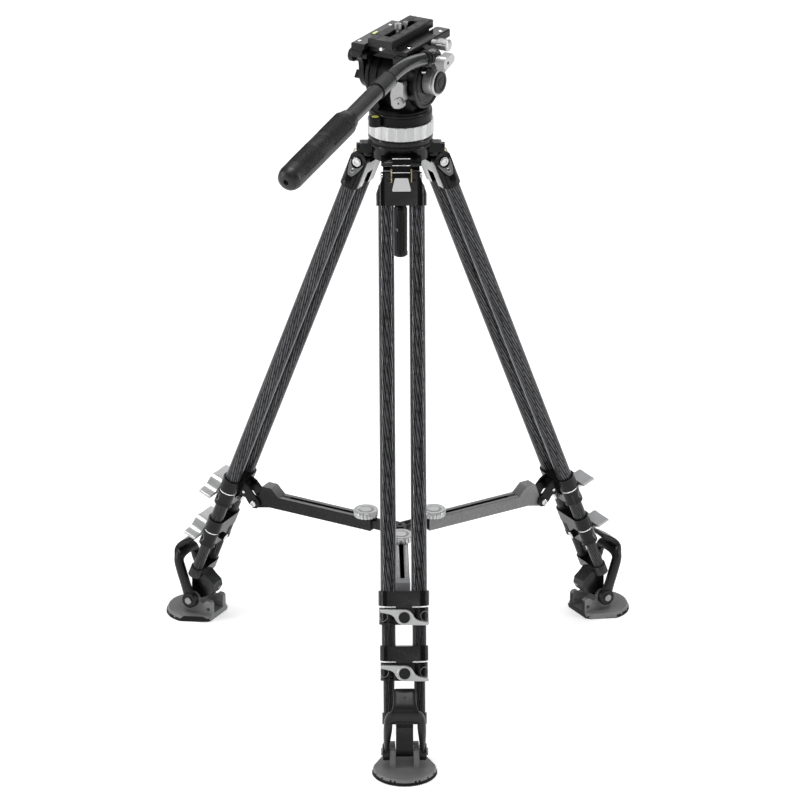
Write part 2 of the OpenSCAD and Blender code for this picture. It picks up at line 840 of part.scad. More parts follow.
module arm_knob(i) {
    color([0.8, 0.81, 0.82])
    turned(i) translate([57, 0, 0])
    difference() {
        union() {
            translate([0, 0, 222.4]) cylinder(r = knob_r, h = 9.6, $fn = fn_main);
            translate([0, 0, 219.4]) cylinder(r = 2.5, h = 4, $fn = fn_small);
        }
        for (a = [0 : 20 : 340])
            rotate([0, 0, a]) translate([knob_r + 0.8, 0, 221]) cylinder(r = 1.9, h = 12, $fn = 16);
        translate([0, 0, 229.4]) cylinder(r = 7, h = 4, $fn = fn_small);
    }
}

// ---------- nodes ----------

crown();
hinge_pins();
ball_base();
bowl_handle();
drag_ring();
pan_body();
tilt_lock();
tilt_body();
drag_knob();
plate();
screw_wide();
screw_slim();
plate_knob();
release_button();
handle_arm();
handle_wing();
handle_tube();
hub();
leg_top(0);  // leg_front
leg_top(1);  // leg_left
leg_top(2);  // leg_right
upper_tubes(0);  // upper_tubes_front
upper_tubes(1);  // upper_tubes_left
upper_tubes(2);  // upper_tubes_right
upper_clamp(0);  // upper_clamp_front
upper_clamp(1);  // upper_clamp_left
upper_clamp(2);  // upper_clamp_right
upper_lever(0);  // upper_lever_front
upper_lever(1);  // upper_lever_left
upper_lever(2);  // upper_lever_right
middle_tubes(0);  // middle_tubes_front
middle_tubes(1);  // middle_tubes_left
middle_tubes(2);  // middle_tubes_right
lower_clamp(0);  // lower_clamp_front
lower_clamp(1);  // lower_clamp_left
lower_clamp(2);  // lower_clamp_right
lower_lever(0);  // lower_lever_front
lower_lever(1);  // lower_lever_left
lower_lever(2);  // lower_lever_right
lower_stage(0);  // lower_stage_front
lower_stage(1);  // lower_stage_left
lower_stage(2);  // lower_stage_right
foot_lever(0);  // foot_lever_front
foot_lever(1);  // foot_lever_left
foot_lever(2);  // foot_lever_right
pad(0);  // pad_front
pad(1);  // pad_left
pad(2);  // pad_right
angle_tab(0);  // angle_tab_front
angle_tab(1);  // angle_tab_left
angle_tab(2);  // angle_tab_right
arm(0);  // arm_front
arm(1);  // arm_left
arm(2);  // arm_right
tongue(0);  // tongue_front
tongue(1);  // tongue_left
tongue(2);  // tongue_right
arm_knob(0);  // arm_knob_front
arm_knob(1);  // arm_knob_left
arm_knob(2);  // arm_knob_right
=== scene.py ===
"""Looks for the video tripod: materials, detail pieces, floor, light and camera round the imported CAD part."""

import json
import math

import bmesh
import bpy
import numpy as np
from mathutils import Matrix, Vector


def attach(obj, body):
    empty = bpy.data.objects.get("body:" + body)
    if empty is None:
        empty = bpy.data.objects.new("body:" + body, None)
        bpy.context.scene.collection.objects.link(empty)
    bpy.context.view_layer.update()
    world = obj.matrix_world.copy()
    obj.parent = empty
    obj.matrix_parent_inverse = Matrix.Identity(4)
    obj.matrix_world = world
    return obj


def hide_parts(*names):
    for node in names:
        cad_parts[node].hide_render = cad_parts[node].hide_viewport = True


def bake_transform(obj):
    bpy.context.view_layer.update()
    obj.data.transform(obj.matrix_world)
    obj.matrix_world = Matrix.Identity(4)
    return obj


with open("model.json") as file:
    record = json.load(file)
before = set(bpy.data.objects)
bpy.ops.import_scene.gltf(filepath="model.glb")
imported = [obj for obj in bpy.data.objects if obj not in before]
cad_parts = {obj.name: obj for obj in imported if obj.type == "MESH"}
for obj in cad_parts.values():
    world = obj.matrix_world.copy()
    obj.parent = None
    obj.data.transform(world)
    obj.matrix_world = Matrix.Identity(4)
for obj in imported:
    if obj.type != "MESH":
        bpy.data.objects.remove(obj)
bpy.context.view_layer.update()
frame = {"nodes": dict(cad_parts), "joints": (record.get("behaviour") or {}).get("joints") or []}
NODES = frame["nodes"]
JOINTS = {j["name"]: j for j in frame["joints"]}
SCENE = bpy.context.scene
MM = 0.001
LEGS = ("front", "left", "right")
UP = Vector((0, 0, 1))
# places and sizes in mm, in the frame that each comment names
PIN_S = 3.8  # hinge pin below the origin of the leg frame
TUBE_Y = 21.5  # axis of each leg tube from the middle of the pair
TUBE_R = {"upper_tubes": 11.05, "middle_tubes": 9.8, "lower_stage": 7.9}
UPPER_LEVER, LOWER_LEVER = 617.4, 695.7  # lever screws below the origin of the leg frame
FLANK_Y, FLANK_TOP, FLANK_SLOPE = 25.6, -4, 9.6 / 23  # slanted side of the top casting, leg frame
ANKLE = (-9.9, 20.9, -808.8)  # boss of the foot strap, leg frame
TILT_Z = 911  # tilt axis above the floor
BAR_Y, BAR_Z = -54, 950.4  # clamp of the pan bar, head frame
PLATE_TOP, RAIL_LEFT, RAIL_RIGHT = 978.9, 971.8, 966.8  # heights of the upper faces of the head
SCREW_FOOT = 979.4  # shoulder of the camera screws
PORT_X, PORT_Z = 61.4, 805  # face of the accessory ports


# ---------------------------------------------------------------- frames
def basis(origin, x, y, z):
    m = Matrix((x, y, z)).transposed().to_4x4()
    m.translation = origin
    return m


def axis_of(joint):
    return Vector(JOINTS[joint]["axis"]).normalized()


def place_of(joint):
    return Vector(JOINTS[joint]["pos_m"])


def leg_frame(leg):
    """X out of the tube plane, Y across the pair, Z up the leg, from just above the hinge pin."""
    n = axis_of("upper_clamp_turn_" + leg)
    up = -axis_of("middle_slide_" + leg)
    return basis(place_of("leg_fold_" + leg) + up * PIN_S * MM, n, -axis_of("leg_fold_" + leg), up)


def ground_frame(leg):
    """X away from the pan axis along the leg's heading, Z up, from the floor."""
    y = -axis_of("leg_fold_" + leg)
    return basis(Vector((0, 0, 0)), y.cross(UP), y, UP)


LEFT = axis_of("tilt")
HEAD = basis(Vector((0, 0, 0)), LEFT.cross(UP), LEFT, UP)
BAR_X = -axis_of("bar_extend")
# end of the bend of the pan bar, in the head frame
BAR = basis(HEAD @ Vector((-0.12267, BAR_Y * MM, 0.95388)), BAR_X, LEFT, BAR_X.cross(LEFT))


# ---------------------------------------------------------------- materials
def node(tree, kind, inputs=None, **settings):
    n = tree.nodes.new(kind)
    for k, v in settings.items():
        setattr(n, k, v)
    for k, v in (inputs or {}).items():
        if isinstance(v, bpy.types.NodeSocket):
            tree.links.new(v, n.inputs[k])
        else:
            n.inputs[k].default_value = v
    return n


def maths(tree, op, a, b=0.0, c=0.0):
    return node(tree, "ShaderNodeMath", {0: a, 1: b, 2: c}, operation=op).outputs[0]


def ramp(tree, fac, stops):
    n = node(tree, "ShaderNodeValToRGB", {"Fac": fac})
    r = n.color_ramp
    while len(r.elements) < len(stops):
        r.elements.new(0.5)
    for e, (at, col) in zip(r.elements, stops):
        e.position = at
        e.color = (*col, 1) if len(col) == 3 else (col[0],) * 3 + (1,)
    return n.outputs[0]


def grey(v):
    return (v, v, v)


def start(name, **values):
    """A new material with its tree and its surface node."""
    m = bpy.data.materials.new(name)
    m.use_nodes = True
    t = m.node_tree
    t.nodes.clear()
    b = node(t, "ShaderNodeBsdfPrincipled")
    node(t, "ShaderNodeOutputMaterial", {"Surface": b.outputs[0]})
    for k, v in values.items():
        b.inputs[k.replace("_", " ")].default_value = v
    return m, t, b


def noise(t, scale, detail=2.0, rough=0.5, vector=None):
    v = vector or node(t, "ShaderNodeTexCoord").outputs["Object"]
    values = {"Vector": v, "Scale": scale, "Detail": detail, "Roughness": rough}
    return node(t, "ShaderNodeTexNoise", values).outputs["Fac"]


def blended(t, a, b, share):
    return maths(t, "ADD", maths(t, "MULTIPLY", a, share), maths(t, "MULTIPLY", b, 1 - share))


def bump(t, b, height, strength, distance):
    n = node(t, "ShaderNodeBump", {"Strength": strength, "Distance": distance, "Height": height})
    t.links.new(n.outputs[0], b.inputs["Normal"])


def link(t, out, b, name):
    t.links.new(out, b.inputs[name])


def edge_mask(t, low, high):
    """White along the convex edges of the mesh."""
    p = node(t, "ShaderNodeNewGeometry").outputs["Pointiness"]
    return node(t, "ShaderNodeMapRange", {"Value": p, "From Min": low, "From Max": high}).outputs[0]


def casting(name, dark, light, rough, grain=2400.0, spec=0.35):
    """Powder-coated metal or moulded plastic: fine grain, cloudy sheen, and a painted highlight that makes the
    convex edges lighter in noisy patches.
    """
    m, t, b = start(name, Specular_IOR_Level=spec)
    cloud = noise(t, 34.0, 4.0, 0.6)
    fine = noise(t, grain, 2.0, 0.6)
    # painted highlight: a lighter grey on the convex edges, broken up by noise
    painted_highlight_mask = maths(t, "MULTIPLY", edge_mask(t, 0.53, 0.62), noise(t, 260.0, 3.0))
    base = ramp(t, blended(t, cloud, fine, 0.6), [(0.25, grey(dark)), (0.75, grey(light))])
    painted_highlight_grey = light * 5 + 0.04
    mix = node(t, "ShaderNodeMix", {0: painted_highlight_mask, 6: base, 7: (painted_highlight_grey, painted_highlight_grey, painted_highlight_grey + 0.002, 1)}, data_type="RGBA")
    link(t, mix.outputs[2], b, "Base Color")
    link(t, maths(t, "MULTIPLY_ADD", cloud, 0.16, rough - 0.08), b, "Roughness")
    bump(t, b, fine, 0.3, 0.00004)
    return m


def satin_metal(name, dark, light, rough, grain=1800.0, spread=0.14, tint=(1.0, 1.0, 1.0), metal=1.0):
    """Bead-blasted or brushed aluminium and steel."""
    m, t, b = start(name, Metallic=metal)
    fine = noise(t, grain, 3.0, 0.65)
    cloud = noise(t, 60.0, 3.0)
    stops = [(at, tuple(v * c for c in tint)) for at, v in ((0.3, dark), (0.7, light))]
    link(t, ramp(t, blended(t, cloud, fine, 0.5), stops), b, "Base Color")
    link(t, maths(t, "MULTIPLY_ADD", cloud, spread, rough - spread / 2), b, "Roughness")
    bump(t, b, fine, 0.12, 0.00003)
    return m


def rubber(name, dark, light, rough, grain=1500.0, depth=0.0001, spec=0.3):
    """Moulded rubber with a fine pebbled skin."""
    m, t, b = start(name, Specular_IOR_Level=spec)
    fine = noise(t, grain, 3.0, 0.6)
    cloud = noise(t, 45.0, 4.0, 0.65)
    link(t, ramp(t, blended(t, cloud, fine, 0.7), [(0.3, grey(dark)), (0.7, grey(light))]), b, "Base Color")
    link(t, maths(t, "MULTIPLY_ADD", cloud, 0.2, rough - 0.1), b, "Roughness")
    bump(t, b, fine, 0.4, depth)
    return m


def carbon(name, dark, light, metal, rough, tow, run, lean):
    """Carbon tube of tows that wide, each lit for a run of its length. UV is (round, along) in millimetres."""
    m, t, b = start(name, Metallic=metal, Coat_Weight=0.06, Coat_Roughness=0.15, Specular_IOR_Level=0.2)
    uv = node(t, "ShaderNodeSeparateXYZ", {0: node(t, "ShaderNodeUVMap", uv_map="tube").outputs[0]})
    u, v = uv.outputs[0], uv.outputs[1]
    s = maths(t, "DIVIDE", maths(t, "MULTIPLY_ADD", v, -lean, u), tow)
    cell = maths(t, "FLOOR", s)
    across = maths(t, "ABSOLUTE", maths(t, "SUBTRACT", maths(t, "FRACT", s), 0.5))
    ridge = maths(t, "SMOOTH_MIN", maths(t, "MULTIPLY", maths(t, "SUBTRACT", 0.5, across), 3.0), 1.0, 0.3)
    w = maths(t, "FRACT", maths(t, "MULTIPLY_ADD", cell, 0.37, maths(t, "DIVIDE", v, run)))
    fold = maths(t, "ABSOLUTE", maths(t, "MULTIPLY_ADD", w, 2.0, -1.0))
    float_ = maths(t, "MULTIPLY_ADD", maths(t, "POWER", fold, 7.0), -0.5, 1.0)

    def drawn_out(across, along, rough):
        at = {0: maths(t, "MULTIPLY", s, across), 1: maths(t, "DIVIDE", v, along)}
        return noise(t, 1.0, 2.0, rough, node(t, "ShaderNodeCombineXYZ", at).outputs[0])

    wave, strand = drawn_out(1.7, 60.0, 0.5), drawn_out(9.0, 30.0, 0.6)
    lit = maths(t, "MULTIPLY", maths(t, "MULTIPLY", ridge, float_), maths(t, "MULTIPLY_ADD", wave, 1.5, 0.1))
    lit = maths(t, "MULTIPLY", lit, maths(t, "MULTIPLY_ADD", strand, 0.5, 0.75))
    stops = [(0.3, (dark, dark, dark * 1.05)), (1.0, (light, light, light * 1.06))]
    link(t, ramp(t, lit, stops), b, "Base Color")
    link(t, maths(t, "MULTIPLY_ADD", lit, -0.12, rough), b, "Roughness")
    bump(t, b, lit, 0.2, 0.00006)
    return m


def glass_vial(name, colour):
    """Tinted fluid under a clear cap, with a faint painted glow in its own colour."""
    m, t, b = start(name, Roughness=0.08, Coat_Weight=0.8, Coat_Roughness=0.03)
    v = noise(t, 900.0, 2.0)
    link(t, ramp(t, v, [(0.3, tuple(c * 0.8 for c in colour)), (0.7, colour)]), b, "Base Color")
    # painted glow: the fluid gives off a little light of its own colour
    b.inputs["Emission Color"].default_value = (*colour, 1)
    b.inputs["Emission Strength"].default_value = 0.12
    return m


MAT = {
    "casting": casting("black_casting", 0.001, 0.0025, 0.19, spec=0.22),
    "casting_flat": casting("black_casting_flat", 0.0012, 0.0025, 0.36, spec=0.18),
    "plastic": casting("black_plastic", 0.0025, 0.005, 0.34, 1500.0, 0.22),
    "anodised": satin_metal("dark_anodised", 0.1, 0.13, 0.24, 2600.0, spread=0.05),
    "plate_grey": casting("plate_anodised", 0.005, 0.009, 0.32, 3000.0, 0.24),
    "pad_top": rubber("plate_rubber", 0.05, 0.07, 0.6, 1300.0),
    "arm_grey": casting("arm_anodised", 0.004, 0.007, 0.34, 2600.0, 0.16),
    "arm_top": casting("arm_top_grey", 0.1, 0.14, 0.42, 2600.0, 0.4),
    "inlay": satin_metal("grey_inlay", 0.24, 0.3, 0.42, 2200.0),
    "silver": satin_metal("satin_silver", 0.48, 0.56, 0.3, spread=0.06, metal=0.7),
    "lock_silver": satin_metal("lock_silver", 0.3, 0.36, 0.3, spread=0.06),
    "pale_ring": satin_metal("turned_ring", 0.46, 0.56, 0.26, spread=0.06, metal=0.8),
    "steel": satin_metal("machined_steel", 0.5, 0.62, 0.22, spread=0.06),
    # painted shade: flat black put on slots, holes, grooves and gaps
    "dark": casting("painted_shade_black", 0.001, 0.002, 0.7, spec=0.05),
    "carbon": carbon("carbon_upper", 0.0008, 0.12, 0.3, 0.3, 3.4, 30.0, 0.14),
    "carbon_dim": carbon("carbon_lower", 0.001, 0.07, 0.35, 0.34, 2.6, 26.0, 0.08),
    "pad": rubber("pad_rubber", 0.15, 0.21, 0.45, 900.0),
    "strap": rubber("strap_rubber", 0.003, 0.006, 0.32, 1400.0, 0.00004, 0.28),
    "grip": rubber("grip_rubber", 0.006, 0.011, 0.38, 1800.0, 0.00005, 0.4),
    "pad_edge": rubber("pad_edge_rubber", 0.002, 0.005, 0.5, 900.0, spec=0.2),
    "pale_face": casting("pale_face", 0.46, 0.56, 0.4),
    "button": casting("pale_button", 0.55, 0.7, 0.35),
    "vial": glass_vial("bubble_vial", (0.62, 0.66, 0.12)),
    "white_mark": casting("pale_mark", 0.6, 0.75, 0.5),
    "brass": satin_metal("spring_brass", 0.6, 0.75, 0.3, tint=(1.0, 0.78, 0.42)),
}


# ---------------------------------------------------------------- CAD nodes
def soften(obj, width, angle=32, segments=2):
    """Rounds the hard edges of a mesh and smooths its curved faces."""
    weld = obj.modifiers.new("weld", "WELD")
    weld.merge_threshold = 2e-6
    flat = obj.modifiers.new("planar", "DECIMATE")
    flat.decimate_type = "DISSOLVE"
    flat.angle_limit = math.radians(0.4)
    bev = obj.modifiers.new("bevel", "BEVEL")
    bev.width, bev.segments = width * MM, segments
    bev.limit_method, bev.angle_limit = "ANGLE", math.radians(angle)
    bev.miter_outer = "MITER_ARC"
    nor = obj.modifiers.new("normals", "WEIGHTED_NORMAL")
    nor.keep_sharp = False
    nor.weight = 60


def dress(name, material, width=0.4, angle=32):
    obj = NODES[name]
    obj.data.materials.clear()
    obj.data.materials.append(MAT[material])
    for p in obj.data.polygons:
        p.use_smooth = True
    if "custom_normal" in obj.data.attributes:
        obj.data.attributes.remove(obj.data.attributes["custom_normal"])
    if width:
        soften(obj, width, angle)


def tube_uv(name, to_leg, radius):
    """UV (round, along) in millimetres for a pair of leg tubes, the second one well away from the first."""
    apart = 300
    me = NODES[name].data
    uv = me.uv_layers.get("tube") or me.uv_layers.new(name="tube")
    inv = np.array(to_leg.inverted(), float)
    co = np.array([v.co for v in me.vertices], float) @ inv[:3, :3].T + inv[:3, 3]
    co *= 1000
    side = np.where(co[:, 1] > 0, 1.0, -1.0)
    turn = np.arctan2(co[:, 1] - side * TUBE_Y, -co[:, 0])
    for p in me.polygons:
        vs = list(p.vertices)
        mid = co[vs].mean(0)
        sd = 1.0 if mid[1] > 0 else -1.0
        ref = math.atan2(mid[1] - sd * TUBE_Y, -mid[0])
        for li, vi in zip(p.loop_indices, vs):
            a = turn[vi]
            while a - ref > math.pi:
                a -= 2 * math.pi
            while a - ref < -math.pi:
                a += 2 * math.pi
            uv.data[li].uv = (a * radius + sd * apart, co[vi, 2])


# material and edge rounding in mm of each CAD node
BASE = {
    "crown": ("casting", 0.6), "hinge_pins": ("steel", 0.4), "ball_base": ("casting", 0.5),
    "bowl_handle": ("plastic", 0.5), "drag_ring": ("silver", 0.4), "pan_body": ("casting_flat", 0.8),
    "tilt_lock": ("lock_silver", 1.2), "tilt_body": ("casting", 0.9), "drag_knob": ("silver", 0.5),
    "plate": ("plate_grey", 0.5), "screw_wide": ("steel", 0.3), "screw_slim": ("steel", 0.3),
    "plate_knob": ("silver", 0.5), "release_button": ("button", 0.3), "handle_arm": ("anodised", 0.4),
    "handle_wing": ("silver", 1.4), "handle_tube": ("anodised", 0.5), "hub": ("plastic", 0.4),
}
PER_LEG = {
    "leg": ("casting", 0.9), "upper_tubes": ("carbon", 0), "upper_clamp": ("casting", 0.6),
    "upper_lever": ("silver", 0.8), "middle_tubes": ("carbon_dim", 0), "lower_clamp": ("casting", 0.6),
    "lower_lever": ("silver", 0.8), "lower_stage": ("carbon_dim", 0), "foot_lever": ("strap", 1.5),
    "pad": ("pad", 0.8), "angle_tab": ("silver", 0.5), "arm": ("arm_grey", 0.4),
    "tongue": ("arm_grey", 0.3), "arm_knob": ("silver", 0.4),
}


def repaint(name, material, frame_, test):
    """Gives another finish to the faces of a CAD node whose middle, in mm of the frame, passes the test."""
    obj = NODES[name]
    me = obj.data
    me.materials.append(MAT[material])
    slot = len(me.materials) - 1
    inv = np.array(frame_.inverted(), float)
    co = (np.array([v.co for v in me.vertices], float) @ inv[:3, :3].T + inv[:3, 3]) * 1000
    for p in me.polygons:
        if test(*co[list(p.vertices)].mean(0)):
            p.material_index = slot


for n, (m, w) in BASE.items():
    dress(n, m, w)
for leg in LEGS:
    for n, (m, w) in PER_LEG.items():
        dress(n + "_" + leg, m, w)
    to_leg = leg_frame(leg)
    for n, r in TUBE_R.items():
        tube_uv("%s_%s" % (n, leg), to_leg, r)
    # the clamps' screws and the shackle's pin
    for n in ("upper", "lower"):
        repaint(n + "_clamp_" + leg, "steel", to_leg, lambda x, y, z: x < -14.3 and z < -606 and abs(y) < 7.2)
    repaint("upper_clamp_" + leg, "steel", to_leg, lambda x, y, z: x < -15 and abs(y) > 14.05)
    # the tab's hinge lugs, the casting's inner faces, the pad's edge and the arm's top
    repaint("angle_tab_" + leg, "casting", to_leg, lambda x, y, z: abs(y) > 9.5)
    repaint("leg_" + leg, "pale_face", to_leg, lambda x, y, z: x < -13.6 and z < -20 and abs(y) > 15)
    repaint("pad_" + leg, "pad_edge", ground_frame(leg), lambda x, y, z: z < 5.5)
    repaint("arm_" + leg, "arm_top", ground_frame(leg), lambda x, y, z: z > 222.9)
    # the bottom casting: everything that isn't the wall of a tube, and the ends of the ankle pin
    repaint("lower_stage_" + leg, "casting", to_leg,
            lambda x, y, z: z < -752.9 and (abs(y) > 29.5 or z < -764.5 or abs(x) > 8.2
                                            or abs(y) < 13.4 or z > -753.2))
    repaint("lower_stage_" + leg, "inlay", to_leg, lambda x, y, z: z < -795 and abs(y) > 12.05)
repaint("handle_tube", "grip", BAR, lambda x, y, z: x < -112)
repaint("handle_arm", "casting_flat", HEAD, lambda x, y, z: x > -27 and z < 940)


# ---------------------------------------------------------------- shapes of the detail pieces
def turn_to(frame_, at, axis=(0, 0, 1), spin=0.0):
    """A frame at a point in mm of another, with its Z along the given local axis."""
    z = Vector(axis).normalized()
    side = Vector((0, 0, 1)) if abs(z.z) < 0.9 else Vector((1, 0, 0))
    x = side.cross(z).normalized()
    m = basis(Vector(at) * MM, x, z.cross(x), z)
    return frame_ @ m @ Matrix.Rotation(math.radians(spin), 4, "Z")


def lathe(profile, seg=48, wobble=None):
    """Revolved profile of (radius, height) points; wobble(angle, point number) is added to the radius.

    A profile that ends on its first point makes a closed ring, the others get flat ends.
    """
    verts, faces = [], []
    for i in range(seg):
        a = 2 * math.pi * i / seg
        for k, (r, h) in enumerate(profile):
            q = r + (wobble(a, k) if wobble and r > 0 else 0.0)
            verts.append((q * math.cos(a), q * math.sin(a), h))
    n = len(profile)
    for i in range(seg):
        j = (i + 1) % seg
        for k in range(n - 1):
            faces.append((i * n + k, j * n + k, j * n + k + 1, i * n + k + 1))
    for k, back in ((0, True), (n - 1, False)):
        if profile[k][0] > 0 and profile[0] != profile[-1]:
            ring = [i * n + k for i in range(seg)]
            faces.append(tuple(reversed(ring)) if back else tuple(ring))
    return verts, faces


def prism(outline, h0, h1):
    """Extruded outline of (x, y) points, counterclockwise."""
    n = len(outline)
    verts = [(x, y, h0) for x, y in outline] + [(x, y, h1) for x, y in outline]
    faces = [tuple(reversed(range(n))), tuple(range(n, 2 * n))]
    faces += [(i, (i + 1) % n, n + (i + 1) % n, n + i) for i in range(n)]
    return verts, faces


def wire(points, r, seg=8, closed=False):
    """Round wire along points in mm."""
    pts = [Vector(p) for p in points]
    n = len(pts)
    verts, faces = [], []
    side = None
    for i, p in enumerate(pts):
        a = pts[i - 1] if i or closed else p
        b = pts[(i + 1) % n] if i < n - 1 or closed else p
        d = (b - a).normalized()
        if side is None:
            side = d.orthogonal().normalized()
        side = (side - d * side.dot(d)).normalized()
        up = d.cross(side)
        for k in range(seg):
            t = 2 * math.pi * k / seg
            verts.append(tuple(p + (side * math.cos(t) + up * math.sin(t)) * r))
    for i in range(n if closed else n - 1):
        j = (i + 1) % n
        for k in range(seg):
            m = (k + 1) % seg
            faces.append((i * seg + k, j * seg + k, j * seg + m, i * seg + m))
    if not closed:
        faces.append(tuple(reversed(range(seg))))
        faces.append(tuple(range((n - 1) * seg, n * seg)))
    return verts, faces


def merged(*shapes):
    verts, faces = [], []
    for v, f in shapes:
        k = len(verts)
        verts += list(v)
        faces += [tuple(i + k for i in q) for q in f]
    return verts, faces


def moved(shape, dx=0.0, dy=0.0, dz=0.0):
    return [(x + dx, y + dy, z + dz) for x, y, z in shape[0]], shape[1]


def spline(points, steps=6, closed=True):
    """Catmull-Rom curve through 2-D points."""
    n = len(points)
    out = []
    for i in range(n if closed else n - 1):
        p = [points[(i + k) % n] if closed else points[min(max(i + k, 0), n - 1)] for k in (-1, 0, 1, 2)]
        for s in range(steps):
            t = s / steps
            out.append(tuple(
                0.5 * (2 * b + (c - a) * t + (2 * a - 5 * b + 4 * c - d) * t * t
                       + (3 * b - a - 3 * c + d) * t ** 3)
                for a, b, c, d in zip(*p)))
    if not closed:
        out.append(tuple(points[-1]))
    return out


def piece(name, shape, frame_, material, body, width=0.0, angle=32, subdiv=0, blend=None):
    """Makes one Blender piece from a shape in mm of a frame."""
    verts, faces = shape
    m = np.array(frame_, float)
    co = (np.array(verts, float) * MM) @ m[:3, :3].T + m[:3, 3]
    me = bpy.data.meshes.new(name)
    me.from_pydata(co.tolist(), [], faces)
    me.materials.append(MAT[material])
    bm = bmesh.new()
    bm.from_mesh(me)
    bmesh.ops.remove_doubles(bm, verts=bm.verts, dist=1e-7)
    bmesh.ops.recalc_face_normals(bm, faces=bm.faces)
    bm.to_mesh(me)
    bm.free()
    for p in me.polygons:
        p.use_smooth = True
    obj = bpy.data.objects.new(name, me)
    SCENE.collection.objects.link(obj)
    if width:
        soften(obj, width, angle)
    elif subdiv:
        sub = obj.modifiers.new("smooth", "SUBSURF")
        sub.levels = sub.render_levels = subdiv
    else:
        me.set_sharp_from_angle(angle=math.radians(angle))
    if blend:
        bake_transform(obj)
    else:
        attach(obj, body)
    return obj


def circle(r, n=32, a0=0.0, a1=360.0):
    return [(r * math.cos(math.radians(a0 + (a1 - a0) * i / n)),
             r * math.sin(math.radians(a0 + (a1 - a0) * i / n))) for i in range(n if a1 - a0 >= 360 else n + 1)]


def rounded(w, h, r, n=5):
    """Rounded rectangle of half sizes w and h."""
    pts = []
    for sx, sy, a in ((1, 1, 0), (-1, 1, 90), (-1, -1, 180), (1, -1, 270)):
        for i in range(n + 1):
            t = math.radians(a + 90 * i / n)
            pts.append((sx * (w - r) + r * math.cos(t), sy * (h - r) + r * math.sin(t)))
    return pts


def tile(x, y, w, h, r, z0, z1, n=5):
    """Plate with rounded corners, of half sizes w and h, centred on (x, y)."""
    return prism([(x + a, y + b) for a, b in rounded(w, h, r, n)], z0, z1)


def sides(name):
    """Both sides of a leg, each with the name that its pieces end in."""
    return (-1, name + "_a"), (1, name + "_b")


